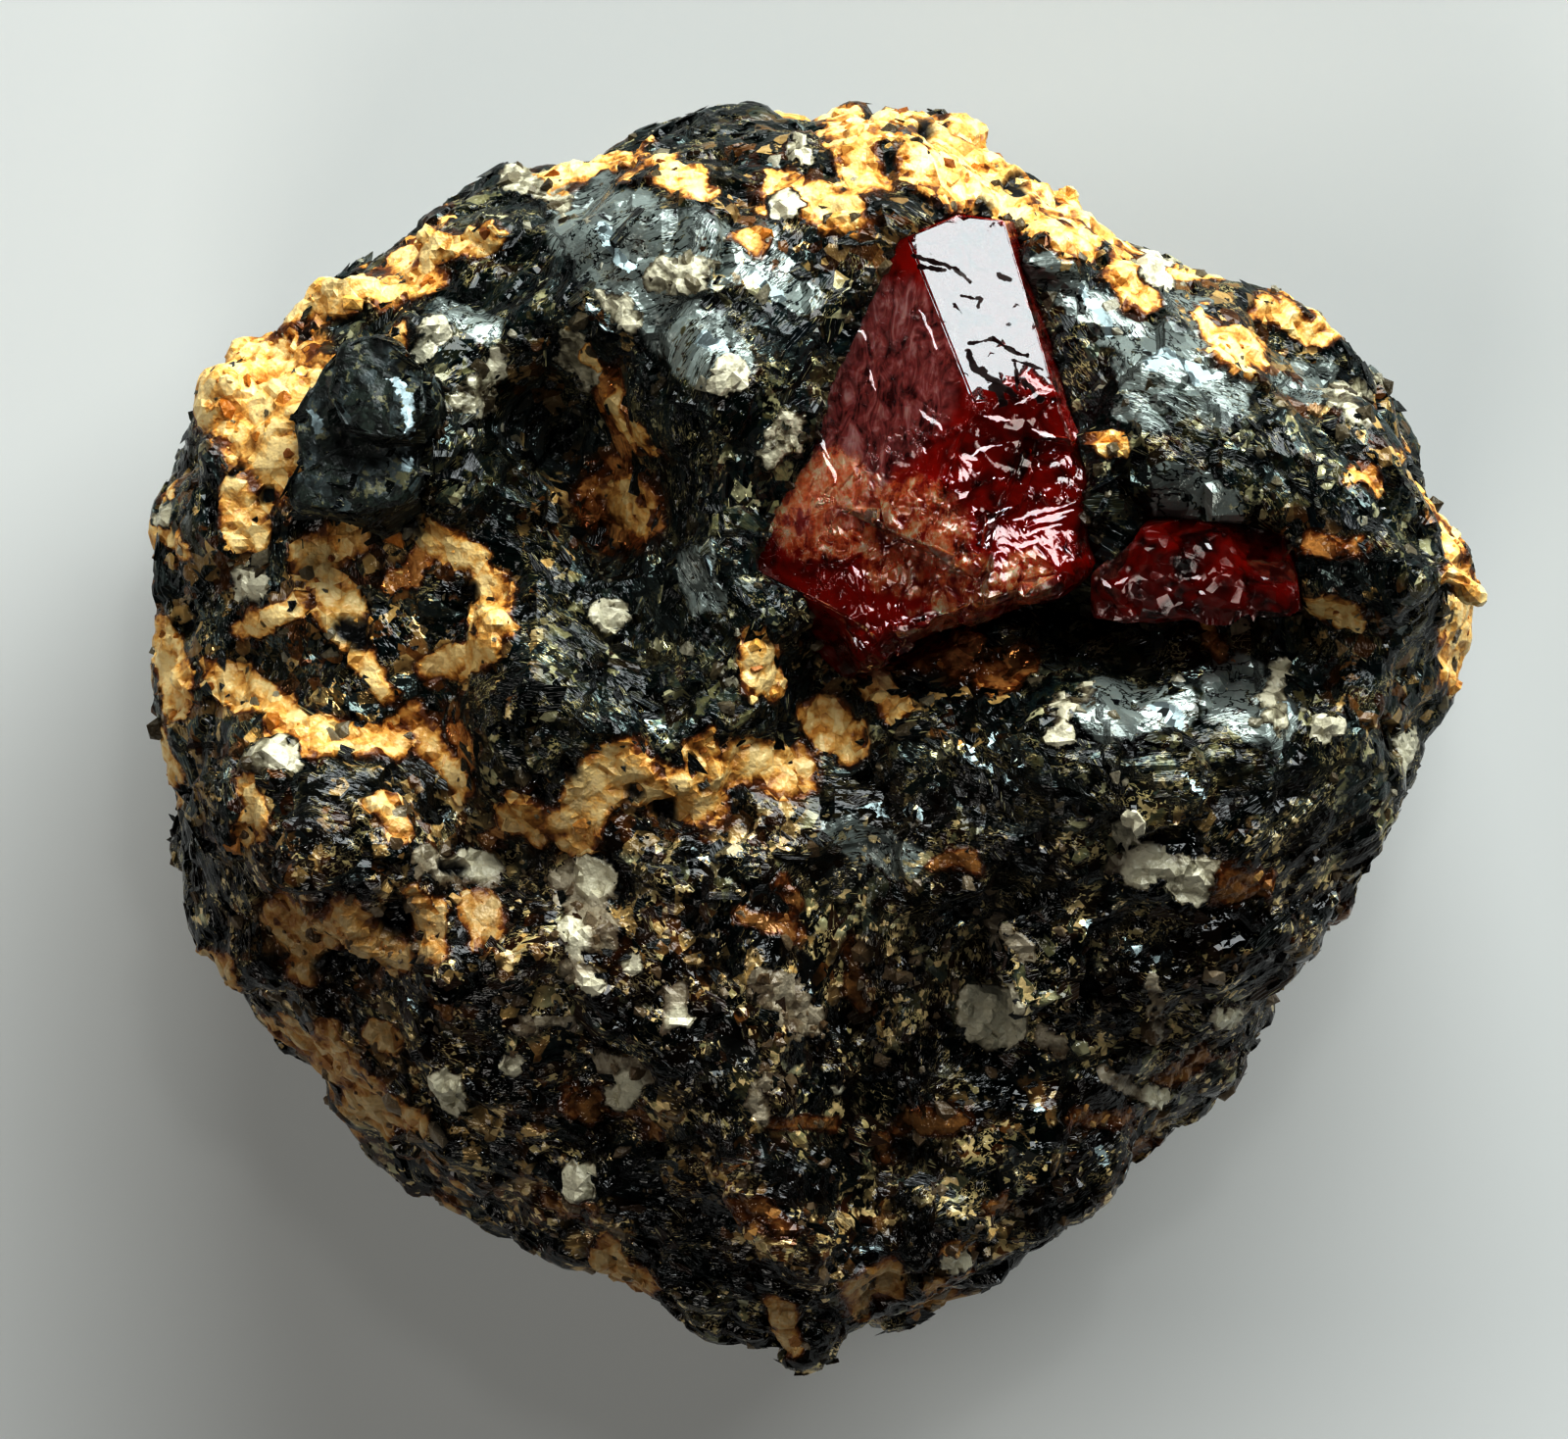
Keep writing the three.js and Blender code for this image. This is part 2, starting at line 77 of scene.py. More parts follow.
Colour = tuple[float, float, float]
Point2 = tuple[float, float]
Point3 = tuple[float, float, float]
Spot = tuple[float, float, float]
Ball = tuple[float, float, float, float]
Line = tuple[float, float, float, float]
Stripe = tuple[float, float, float, float, float]


# ---- Node trees ----


@dataclass(frozen=True)
class Tree:
    """Adds nodes to a shader or geometry tree and links them."""

    tree: bpy.types.NodeTree

    def feed(self, socket: bpy.types.NodeSocket, value: Any) -> None:
        """Links a value to a socket, or sets the socket to it.

        Args:
            socket: The input socket.
            value: A Value, an output socket, or a constant.
        """
        if isinstance(value, Value):
            value = value.socket
        if isinstance(value, bpy.types.NodeSocket):
            self.tree.links.new(value, socket)
        elif socket.type == "RGBA" and len(value) == 3:
            socket.default_value = (*value, 1.0)
        else:
            socket.default_value = value

    def node(
        self, kind: str, settings: dict[str, Any] | None = None, values: dict[Any, Any] | None = None
    ) -> bpy.types.Node:
        """Adds one node.

        Args:
            kind: The node's type.
            settings: Its properties, set first; "stops" holds a colour ramp's (place, colour) pairs.
            values: What its input sockets, by name or number, take.

        Returns:
            The node.
        """
        node = self.tree.nodes.new(kind)
        for name, value in (settings or {}).items():
            if name != "stops":
                setattr(node, name, value)
                continue
            elements = node.color_ramp.elements
            while len(elements) < len(value):
                elements.new(1.0)
            for element, (place, colour) in zip(elements, value):
                element.position = place
                element.color = (*colour, 1.0)
        for name, value in (values or {}).items():
            self.feed(node.inputs[name], value)
        return node

    def value(
        self, kind: str, output: Any, settings: dict | None = None, values: dict | None = None
    ) -> "Value":
        """Adds a node and returns one of its outputs, by name or number, as a Value."""
        return Value(self, self.node(kind, settings, values).outputs[output])

    def mix(self, share: Any, first: Any, second: Any) -> "Value":
        """Mixes two colours.

        Args:
            share: How much of the second colour shows.
            first: A colour or a Value.
            second: A colour or a Value.

        Returns:
            The mixed colour.
        """
        return self.value("ShaderNodeMix", 2, {"data_type": "RGBA"}, {0: share, 6: first, 7: second})

    def ramp(self, share: Any, stops: Sequence[tuple[float, Colour]]) -> "Value":
        """The colour of a ramp at a value."""
        return self.value("ShaderNodeValToRGB", 0, {"stops": stops}, {0: share})

    def attribute(self, name: str, output: str = "Fac") -> "Value":
        """A number that the mesh carries, or, from the output "Vector", a vector."""
        return self.value("ShaderNodeAttribute", output, {"attribute_name": name})

    def carried(self, name: str, kind: str = "FLOAT") -> "Value":
        """What the mesh carries under a name, in a geometry tree."""
        return self.value("GeometryNodeInputNamedAttribute", "Attribute", {"data_type": kind}, {"Name": name})

    def store(self, geometry: Any, name: str, kind: str, domain: str, value: Any) -> "Value":
        """Stores a value under a name on a geometry's points or instances, and returns the geometry."""
        values = {"Geometry": geometry, "Name": name, "Value": value}
        return self.value("GeometryNodeStoreNamedAttribute", 0, {"data_type": kind, "domain": domain}, values)

    def noise(
        self, size: float, detail: float = 2.0, roughness: float = 0.5, warp: float = 0.0, at: Any = None
    ) -> "Value":
        """Smooth noise, on the piece's own coordinates unless others are given.

        Args:
            size: The size of its lumps, in millimetres.
            detail: How many finer layers it has.
            roughness: How strong those layers are.
            warp: How far it is warped.
            at: The coordinates.

        Returns:
            The noise, from 0 to 1.
        """
        values = {
            "Vector": self.place() if at is None else at, "Scale": 1 / (size * MM), "Detail": detail,
            "Roughness": roughness, "Distortion": warp,
        }
        return self.value("ShaderNodeTexNoise", "Fac", None, values)

    def strokes(
        self, lines: Sequence[Line], width: float, sway: float, fray: Any, taper: float = 0.0
    ) -> "Value":
        """Lines drawn in plan, which waver and fray.

        Args:
            lines: Each line's two plan points, in millimetres.
            width: How wide the lines are.
            sway: How far they waver.
            fray: The noise that frays them.
            taper: How much they narrow towards their ends.

        Returns:
            1 on the lines, otherwise 0.
        """
        waver = self.value("ShaderNodeTexNoise", "Color", None, {"Vector": self.place(), "Scale": 1.2 / MM})
        waver = self.vector("SCALE", self.vector("SUBTRACT", waver, (0.5, 0.5, 0.5)), sway)
        plan = self.vector("MULTIPLY", self.vector("SCALE", self.place(), 1 / MM), (1.0, 1.0, 0.0))
        plan = self.vector("MULTIPLY", self.vector("ADD", plan, waver), (1.0, 1.0, 0.0))
        nearest = None
        for x0, y0, x1, y1 in lines:
            reach = np.array((x1 - x0, y1 - y0, 0.0))
            from_start = self.vector("SUBTRACT", plan, (x0, y0, 0.0))
            share = self.dot(from_start, tuple(reach / (reach @ reach)))
            share = share.max(0.0).min(1.0)
            off = self.vector("SUBTRACT", from_start, self.vector("SCALE", tuple(reach), share))
            distance = self.value("ShaderNodeVectorMath", 1, {"operation": "LENGTH"}, {0: off})
            distance = distance / (1.04 - taper * (share * 2 - 1) ** 2)
            nearest = distance if nearest is None else nearest.min(distance)
        return 1 - (nearest + (fray - 0.5) * 2.4 * width).between(0.4 * width, 0.6 * width)

    def turned(self, facing: Point3, waver: float, size: float, share: Any, normal: Any) -> "Value":
        """A normal that is turned one way where a surface has a bright face.

        Args:
            facing: The way the bright faces point, in the piece's own frame.
            waver: How far they stray from it.
            size: The size of one face, in millimetres.
            share: Where the bright faces are.
            normal: The normal elsewhere.

        Returns:
            The normal.
        """
        values = {"Vector": self.place(), "Scale": 1 / (size * MM)}
        stray = self.value("ShaderNodeTexVoronoi", "Color", {"feature": "F1"}, values)
        stray = self.vector("SCALE", self.vector("SUBTRACT", stray, (0.5, 0.5, 0.5)), 2 * waver)
        settings = {"vector_type": "NORMAL", "convert_from": "OBJECT", "convert_to": "WORLD"}
        bright = self.value("ShaderNodeVectorTransform", 0, settings, {0: self.vector("ADD", stray, facing)})
        mixed = self.value("ShaderNodeMix", 1, {"data_type": "VECTOR"}, {0: share, 4: normal, 5: bright})
        return self.value("ShaderNodeVectorMath", 0, {"operation": "NORMALIZE"}, {0: mixed})

    def grains(self, size: float, at: Any = None) -> tuple["Value", "Value", "Value"]:
        """Space cut into grains, each with a flat face that leans its own way.

        Args:
            size: The size of a grain, in millimetres.
            at: The coordinates; the piece's own unless others are given.

        Returns:
            The height of the leaning faces, and two random numbers from 0 to 1 for each grain.
        """
        at = self.place() if at is None else at
        node = self.node("ShaderNodeTexVoronoi", {"feature": "F1"}, {"Vector": at, "Scale": 1 / (size * MM)})
        colour = Value(self, node.outputs["Color"])
        inside = self.vector("SUBTRACT", at, node.outputs["Position"])
        slope = self.vector("SUBTRACT", colour, (0.5, 0.5, 0.5))
        first, second = (self.dot(colour, axis) for axis in ((1.0, 0.0, 0.0), (0.0, 1.0, 0.0)))
        return self.dot(inside, slope) / (size * MM) + 0.5, first, second

    def math(self, operation: str, *terms: Any) -> "Value":
        """Adds a Math node with these inputs."""
        return self.value("ShaderNodeMath", 0, {"operation": operation}, dict(enumerate(terms)))

    def dot(self, first: Any, second: Any) -> "Value":
        """The dot product of two vectors."""
        return self.value("ShaderNodeVectorMath", 1, {"operation": "DOT_PRODUCT"}, {0: first, 1: second})

    def place(self) -> "Value":
        """The piece's own coordinates."""
        return self.value("ShaderNodeTexCoord", "Object")

    def vector(self, operation: str, *terms: Any) -> "Value":
        """Adds a Vector Math node.

        Args:
            operation: The node's operation.
            terms: Its inputs; the second of SCALE is its factor.

        Returns:
            The vector.
        """
        values = {0: terms[0], "Scale" if operation == "SCALE" else 1: terms[1]}
        return self.value("ShaderNodeVectorMath", 0, {"operation": operation}, values)

    def bump(self, height: Any, depth: float, under: Any = None) -> "Value":
        """A normal from a height.

        Args:
            height: The height, from 0 to 1.
            depth: What a height of 1 stands for, in millimetres.
            under: A normal to add to.

        Returns:
            The normal.
        """
        values = {"Height": height, "Distance": depth * MM, "Strength": 1.0}
        if under is not None:
            values["Normal"] = under
        return self.value("ShaderNodeBump", "Normal", None, values)


@dataclass(frozen=True)
class Value:
    """A number or colour in a tree. Arithmetic on it adds Math nodes."""

    tree: Tree
    socket: bpy.types.NodeSocket

    def __add__(self, other: Any) -> "Value":
        """self + other."""
        return self.tree.math("ADD", self, other)

    def __sub__(self, other: Any) -> "Value":
        """self - other."""
        return self.tree.math("SUBTRACT", self, other)

    def __rsub__(self, other: Any) -> "Value":
        """other - self."""
        return self.tree.math("SUBTRACT", other, self)

    def __mul__(self, other: Any) -> "Value":
        """self * other."""
        return self.tree.math("MULTIPLY", self, other)

    def __truediv__(self, other: Any) -> "Value":
        """self / other."""
        return self.tree.math("DIVIDE", self, other)

    def __pow__(self, other: Any) -> "Value":
        """self ** other."""
        return self.tree.math("POWER", self, other)

    def __abs__(self) -> "Value":
        """Its size without its sign."""
        return self.tree.math("ABSOLUTE", self)

    __radd__ = __add__
    __rmul__ = __mul__

    def max(self, other: Any) -> "Value":
        """The larger of two."""
        return self.tree.math("MAXIMUM", self, other)

    def min(self, other: Any) -> "Value":
        """The smaller of two."""
        return self.tree.math("MINIMUM", self, other)

    def between(self, low: float, high: float) -> "Value":
        """0 up to low, 1 from high on, and a smooth rise between them."""
        settings = {"interpolation_type": "SMOOTHSTEP", "clamp": True}
        values = {"Value": self, "From Min": low, "From Max": high}
        return self.tree.value("ShaderNodeMapRange", 0, settings, values)


def new_material(name: str) -> tuple[bpy.types.Material, Tree, bpy.types.Node]:
    """Makes an empty material.

    Args:
        name: The material's name.

    Returns:
        The material, its tree, and its Principled shader.
    """
    material = bpy.data.materials.new(name)
    material.use_nodes = True
    tree = Tree(material.node_tree)
    return material, tree, material.node_tree.nodes["Principled BSDF"]


def dress(tree: Tree, shader: bpy.types.Node, values: dict[str, Any]) -> None:
    """Sets a shader's sockets by name."""
    for name, value in values.items():
        tree.feed(shader.inputs[name], value)


# ---- Random fields ----


# Large primes that scatter whole numbers: one for each axis, one for the seed, and one that stirs again.
SCATTERERS = (374761393, 668265263, 974634777)
SEED_SCATTERER = 1274126177
STIRRER = 2246822519
LOW_32_BITS = 0xFFFFFFFF
LOW_24_BITS = 0xFFFFFF


@dataclass(frozen=True)
class Noise:
    """Smooth random heights in space. The same seed always gives the same field."""

    seed: int

    def cell_values(self, cell: np.ndarray, channel: int = 0) -> np.ndarray:
        """A random number from -1 to 1 for each whole-number cell.

        Args:
            cell: The cells, N by 3.
            channel: Which of a cell's numbers.

        Returns:
            N numbers.
        """
        mixed = cell.astype(np.int64) @ np.array(SCATTERERS) + (self.seed + 57 * channel) * SEED_SCATTERER
        mixed &= LOW_32_BITS
        for shift, factor in ((13, SEED_SCATTERER), (15, STIRRER)):
            mixed = ((mixed ^ (mixed >> shift)) * factor) & LOW_32_BITS
        return ((mixed ^ (mixed >> 16)) & LOW_24_BITS) / (LOW_24_BITS // 2) - 1

    def at(self, points: np.ndarray, size: float) -> np.ndarray:
        """Smooth noise from -1 to 1.

        Args:
            points: The places, N by 3, in millimetres.
            size: The size of its lumps.

        Returns:
            N numbers.
        """
        scaled = points / size
        cell = np.floor(scaled)
        part = scaled - cell
        part = part * part * (3 - 2 * part)
        total = np.zeros(len(points))
        for corner in np.ndindex(2, 2, 2):
            share = np.ones(len(points))
            for axis in range(3):
                share *= part[:, axis] if corner[axis] else 1 - part[:, axis]
            total += share * self.cell_values(cell + corner)
        return total

    def fractal(self, points: np.ndarray, size: float, layers: int = 3, gain: float = 0.5) -> np.ndarray:
        """Noise with finer layers on it.

        Args:
            points: The places, N by 3, in millimetres.
            size: The size of the largest lumps.
            layers: How many layers.
            gain: How strong each layer is beside the one before.

        Returns:
            N numbers, about -1 to 1.
        """
        total, weight, share = np.zeros(len(points)), 0.0, 1.0
        for layer in range(layers):
            total += share * self.at(points + 17.3 * layer, size / 2**layer)
            weight, share = weight + share, share * gain
        return total / weight


@dataclass(frozen=True)
class Facets:
    """Space cut into irregular grains, each with a flat, leaning face."""

    size: float
    seed: int

    def nearest(self, points: np.ndarray) -> tuple[np.ndarray, np.ndarray, np.ndarray, np.ndarray]:
        """The grain that each point belongs to.

        Args:
            points: The places, N by 3, in millimetres.

        Returns:
            The grain's cell, its middle, the distance to that, and the distance to the next grain's middle.
        """
        noise = Noise(self.seed)
        cell = np.floor(points / self.size)
        best = np.full(len(points), np.inf)
        second = np.full(len(points), np.inf)
        owner, middle = cell.copy(), points.copy()
        for step in np.ndindex(3, 3, 3):
            near = cell + np.array(step) - 1
            offset = np.stack([noise.cell_values(near, channel) for channel in range(3)], 1)
            seed = (near + 0.5 + 0.42 * offset) * self.size
            distance = np.linalg.norm(points - seed, axis=1)
            closer = distance < best
            second = np.where(closer, best, np.minimum(second, distance))
            best = np.where(closer, distance, best)
            owner[closer], middle[closer] = near[closer], seed[closer]
        return owner, middle, best, second

    def height(self, points: np.ndarray, step: float, lean: float) -> tuple[np.ndarray, np.ndarray]:
        """How far the grains' faces stand out.

        Args:
            points: The places, N by 3, in millimetres.
            step: How much one grain may stand above another, in millimetres.
            lean: How steeply a face may lean.

        Returns:
            The height in millimetres, and 0 at a grain's border to 1 inside it.
        """
        noise = Noise(self.seed + 1)
        owner, middle, first, second = self.nearest(points)
        slope = np.stack([noise.cell_values(owner, 3 + channel) for channel in range(3)], 1)
        height = step * noise.cell_values(owner, 7) + lean * np.einsum("ij,ij->i", points - middle, slope)
        return height, np.clip((second - first) / (0.35 * self.size), 0, 1)


def smoothstep(low: float, high: float, value: np.ndarray) -> np.ndarray:
    """0 up to low, 1 from high on, and a smooth rise between them."""
    share = np.clip((value - low) / (high - low), 0, 1)
    return share * share * (3 - 2 * share)


# ---- Where the minerals are ----


class Mineral(Enum):
    """What a patch of the rock's surface is made of."""

    GOLD = "gold"
    ORANGE = "orange"
    PALE = "pale"
    SHEET = "sheet"
    BLADE = "blade"
    OCHRE = "ochre"


def striped(points: np.ndarray, stripe: Stripe) -> np.ndarray:
    """How far inside a stripe points are.

    Args:
        points: The places, N by 3, in millimetres.
        stripe: Its two plan points, and its reach to both sides.

    Returns:
        1 along the stripe's line, 0.5 at its reach, and less beyond.
    """
    x0, y0, x1, y1, reach = stripe
    start, along = np.array((x0, y0)), np.array((x1 - x0, y1 - y0))
    share = np.clip((points[:, :2] - start) @ along / max(along @ along, 1e-9), 0, 1)
    distance = np.linalg.norm(points[:, :2] - start - share[:, None] * along, axis=1)
    return np.clip(1 - 0.5 * (distance / reach) ** 2, 0, 1)


# Patches of each mineral on top of the rock: each one's two plan points, and its reach to both sides.
PATCHES: dict[Mineral, tuple[Stripe, ...]] = {
    Mineral.GOLD: (
        # The golden slope at the upper left, and the band that runs on from it.
        (-14.2, 8.7, -12.9, 8.3, 1.6), (-13.5, 6.9, -12.8, 6.4, 0.9), (-12.5, 10.5, -10.6, 11.2, 0.7),
        (-10.4, 11.6, -8.0, 11.9, 0.5), (-9.6, 12.5, -9.3, 12.4, 0.4), (-11.2, 10.7, -9.4, 10.8, 0.5),
        (-13.9, 5.6, -13.5, 5.0, 0.5), (-15.7, 5.6, -15.4, 4.4, 0.3), (-9.9, 9.7, -9.8, 9.3, 0.3),
        # The upper rim.
        (-5.9, 13.8, -4.3, 14.4, 0.6), (1.0, 15.0, 3.8, 15.2, 0.7), (3.2, 13.7, 4.8, 13.2, 0.8),
        (4.8, 14.4, 6.8, 13.0, 0.7), (-3.4, 13.6, -2.6, 13.2, 0.5), (-0.8, 12.9, 1.2, 12.5, 0.55),
        (1.5, 13.6, 1.2, 14.6, 0.6), (-1.5, 12.0, -1.4, 11.5, 0.35), (5.4, 12.6, 6.6, 11.7, 0.4),
        (7.3, 12.2, 8.3, 12.3, 0.5), (7.7, 11.1, 8.2, 10.5, 0.5), (9.2, 11.4, 10.3, 11.1, 0.3),
        # The right rim.
        (9.8, 9.9, 10.9, 8.9, 0.4), (11.5, 10.2, 12.6, 9.6, 0.4), (14.0, 9.0, 14.6, 8.3, 0.45),
        (14.6, 7.7, 14.9, 6.8, 0.3), (15.2, 5.7, 15.9, 4.6, 0.45), (15.9, 3.9, 16.1, 3.4, 0.5),
        (15.9, 2.9, 16.1, 1.2, 0.5), (13.2, 6.4, 13.7, 6.0, 0.35), (12.6, 2.8, 13.1, 2.6, 0.35),
        (7.2, 7.0, 7.6, 6.8, 0.35),
        # The ring and the hollow at the left, below the mica book.
        (-12.0, 4.3, -10.4, 4.8, 0.6), (-11.5, 3.5, -11.3, 2.6, 0.55), (-9.4, 4.7, -8.0, 4.1, 0.4),
        (-7.7, 3.4, -7.6, 2.4, 0.5), (-9.0, 1.7, -7.8, 1.9, 0.45), (-13.6, 2.4, -12.4, 3.1, 0.4),
        (-15.7, 2.4, -15.4, 0.8, 0.45), (-15.7, -0.2, -15.4, -1.0, 0.35), (-14.4, 1.4, -12.6, 0.4, 0.4),
        (-12.6, -0.2, -10.2, -0.2, 0.55), (-10.9, 2.0, -10.2, 1.0, 0.3), (-9.6, 0.4, -8.5, -1.2, 0.4),
        (-13.6, -1.4, -13.4, -2.3, 0.4), (-10.1, -1.8, -9.8, -2.4, 0.4),
        # The lower left.
        (-12.7, -4.4, -12.1, -5.6, 0.6), (-11.2, -4.7, -10.3, -5.3, 0.65), (-9.3, -4.3, -9.0, -5.2, 0.4),
        (-8.2, -4.1, -7.7, -5.0, 0.35), (-14.5, -5.5, -14.2, -5.9, 0.4), (-12.8, -7.3, -12.2, -7.8, 0.4),
        (-11.6, -7.3, -11.3, -8.3, 0.4), (-10.5, -7.3, -10.2, -7.6, 0.35), (-10.8, -8.8, -9.9, -9.7, 0.4),
        (-9.6, -10.8, -8.6, -11.4, 0.4), (-4.9, -12.8, -4.1, -13.5, 0.5), (-0.6, -14.0, -0.3, -14.8, 0.3),
        (1.1, -13.9, 2.1, -13.2, 0.4), (3.1, -14.0, 4.1, -14.4, 0.45), (3.6, -12.6, 3.7, -13.2, 0.3),
        # The vein across the middle, and the ledge under the large crystal.
        (-7.2, -1.9, -5.9, -2.4, 0.5), (-5.6, -2.8, -5.4, -2.2, 0.5), (-5.2, -1.6, -4.4, -1.0, 0.75),
        (-3.9, -1.3, -2.5, -1.7, 0.75), (-2.6, -0.8, -2.6, -0.2, 0.35), (-1.7, -1.0, -0.5, -0.9, 0.7),
        (0.2, 0.3, 0.9, -0.4, 0.5), (-1.3, 2.0, -0.9, 1.0, 0.45), (1.4, 0.9, 2.2, 0.3, 0.4),
        (-4.7, 5.9, -4.3, 5.1, 0.42), (-4.6, 8.2, -4.3, 7.1, 0.16), (-5.5, 9.2, -5.2, 8.7, 0.14),
        (-3.9, 7.3, -3.7, 6.6, 0.14),
    ),
    Mineral.ORANGE: (
        (-5.0, 6.1, -4.4, 5.0, 0.7), (-4.9, 8.6, -4.3, 7.0, 0.4), (1.6, 1.6, 3.8, 1.9, 0.5),
        (4.5, 1.3, 5.2, 1.8, 0.4), (10.1, -3.8, 10.8, -3.6, 0.5), (13.1, -4.2, 13.4, -4.5, 0.35),
        (12.3, 4.6, 13.3, 4.3, 0.35), (-1.6, -11.2, -0.4, -12.0, 0.3), (2.3, -9.5, 3.7, -9.4, 0.3),
        (1.8, -9.8, 2.0, -10.4, 0.25), (4.5, -11.6, 4.9, -11.6, 0.2), (-4.1, -9.3, -3.8, -9.7, 0.25),
        (8.8, -8.3, 9.6, -8.1, 0.3), (-0.9, -9.4, 0.6, -9.5, 0.2), (-1.4, -4.3, -0.4, -4.9, 0.3),
        (-0.5, -3.6, -0.2, -4.3, 0.2), (0.9, -5.2, 1.2, -6.6, 0.25), (-9.0, -6.5, -8.7, -6.9, 0.25),
        (-10.0, 3.4, -9.0, 4.2, 0.25), (-8.6, 0.2, -8.2, -0.6, 0.2), (3.0, -3.2, 3.9, -3.2, 0.3),
        (6.6, -9.4, 7.6, -9.6, 0.25), (-5.6, -8.9, -4.6, -9.2, 0.3), (10.0, 1.9, 9.6, 2.2, 0.25),
        (-8.0, -2.5, -7.6, -2.4, 0.2), (-6.4, -11.4, -5.0, -11.7, 0.25),
    ),
    Mineral.PALE: (
        (-13.2, -0.6, -12.6, -0.5, 0.5), (-8.9, -3.2, -8.0, -3.4, 0.45), (-5.7, -3.9, -4.9, -4.7, 0.6),
        (-5.7, -5.6, -5.4, -5.8, 0.4), (-3.2, -6.4, -3.4, -7.2, 0.3), (-4.8, -8.2, -4.2, -8.5, 0.35),
        (-7.0, -6.9, -5.8, -7.2, 0.25), (7.6, -3.3, 9.4, -3.5, 0.4), (8.3, -6.0, 8.4, -7.6, 0.2),
        (10.1, -6.9, 10.4, -7.1, 0.3), (4.6, -5.0, 5.1, -5.4, 0.3), (5.7, -7.6, 6.1, -7.7, 0.3),
        (-0.9, -6.2, 0.0, -7.0, 0.35), (-0.8, -8.4, -1.2, -9.2, 0.3), (7.3, -8.2, 7.9, -8.8, 0.25),
        (-3.6, 11.1, -2.8, 11.0, 0.5), (-4.6, 10.4, -4.3, 9.8, 0.35), (-5.8, 9.4, -5.4, 8.6, 0.3),
        (-7.6, 8.9, -8.0, 8.0, 0.3), (8.2, 11.3, 8.9, 11.2, 0.35), (13.0, 8.2, 13.3, 7.8, 0.3),
        (-13.8, 3.9, -13.5, 3.4, 0.35), (-6.9, 13.4, -5.8, 13.1, 0.4), (-0.4, 7.4, -0.8, 6.6, 0.3),
        (11.4, 1.5, 11.3, 0.3, 0.3), (6.6, 0.9, 6.0, 0.2, 0.3),
    ),
    Mineral.SHEET: (
        (-4.9, 12.2, -3.6, 11.0, 1.3), (-2.7, 11.8, -1.6, 11.6, 0.8), (-3.2, 9.8, -2.2, 9.0, 0.9),
        (8.4, 9.0, 9.9, 8.3, 0.9), (8.0, 7.8, 8.6, 7.6, 0.5), (9.2, 10.4, 9.6, 10.0, 0.5),
        (6.2, 11.0, 7.6, 9.6, 0.5), (7.2, 0.6, 8.6, 0.4, 0.8), (10.2, 1.0, 11.2, 0.4, 0.8),
        (0.8, -2.7, 2.2, -3.1, 0.5), (11.8, 8.7, 12.6, 8.4, 0.5), (-0.9, 11.0, -0.2, 10.5, 0.5),
        (-2.6, 4.2, -2.4, 3.2, 0.5), (-8.6, 10.0, -7.8, 9.8, 0.4), (2.8, 14.4, 3.4, 14.2, 0.45),
        (1.2, 13.6, 1.2, 13.1, 0.4), (8.8, 5.9, 9.8, 5.6, 0.5),
    ),
    Mineral.OCHRE: (
        # Ground that is dusted with ochre grains.
        (-13.5, 4.0, -9.0, 2.0, 2.4), (-14.5, 0.0, -9.5, -3.5, 2.2), (-6.5, -2.0, -1.0, -2.2, 0.9),
        (0.5, 1.6, 4.0, 0.8, 1.1), (-1.5, 12.8, 4.0, 13.4, 1.9), (5.0, 12.8, 10.0, 10.4, 1.5),
        (11.0, 10.0, 15.0, 7.0, 1.4), (12.0, 4.4, 14.5, 0.5, 1.2), (-12.5, -5.0, -8.0, -5.5, 1.8),
        (-11.5, -8.0, -5.0, -12.5, 1.4), (-6.0, -9.0, 0.0, -12.0, 1.7), (-8.0, 3.5, -4.4, 6.5, 1.1),
        (-15.6, 6.0, -15.6, -2.0, 0.8), (2.0, -12.5, 5.0, -13.5, 1.2), (-4.0, -5.0, 1.0, -6.5, 1.3),
        (9.5, -3.0, 12.0, -5.5, 1.2), (-7.0, 8.0, -5.0, 9.5, 0.9), (4.5, -9.5, 8.5, -10.5, 1.3),
    ),
    Mineral.BLADE: (
        # Mica edges that catch the light.
        (-4.6, 0.9, -3.6, 0.3, 0.13), (-4.3, 0.3, -3.4, -0.1, 0.1), (3.2, -4.3, 3.9, -4.6, 0.2),
        (2.0, -9.0, 2.7, -9.2, 0.1), (6.7, -4.6, 7.6, -4.8, 0.1), (7.6, -5.2, 8.7, -5.5, 0.1),
        (6.8, -10.2, 7.5, -10.5, 0.1), (1.2, -2.0, 2.6, -2.2, 0.12), (3.9, -0.3, 4.9, -1.5, 0.14),
        (4.5, 0.0, 5.3, -0.9, 0.12), (-12.1, 8.2, -11.7, 7.3, 0.12), (8.2, 9.1, 9.9, 8.9, 0.16),
        (-4.9, 12.0, -4.3, 11.5, 0.16), (-2.4, 9.3, -1.9, 8.9, 0.2), (6.8, 10.6, 7.4, 9.7, 0.16),
        (-1.5, 10.8, -0.6, 10.5, 0.14), (-5.1, 10.1, -4.8, 9.4, 0.12), (8.6, 0.6, 9.0, 0.1, 0.2),
        (11.2, 0.9, 11.9, 0.6, 0.14), (-7.6, 7.2, -7.1, 6.6, 0.16), (-2.4, 4.4, -2.2, 3.5, 0.12),
        (0.0, -6.4, 0.1, -7.2, 0.08), (-2.8, -2.9, -2.0, -3.2, 0.1), (9.1, -1.2, 9.7, -1.6, 0.14),
        (-8.9, -1.9, -8.3, -2.1, 0.1), (5.6, -9.2, 6.2, -9.0, 0.08), (1.0, -12.4, 1.8, -12.6, 0.1),
        (-9.8, -6.6, -9.3, -6.9, 0.1),
    ),
}

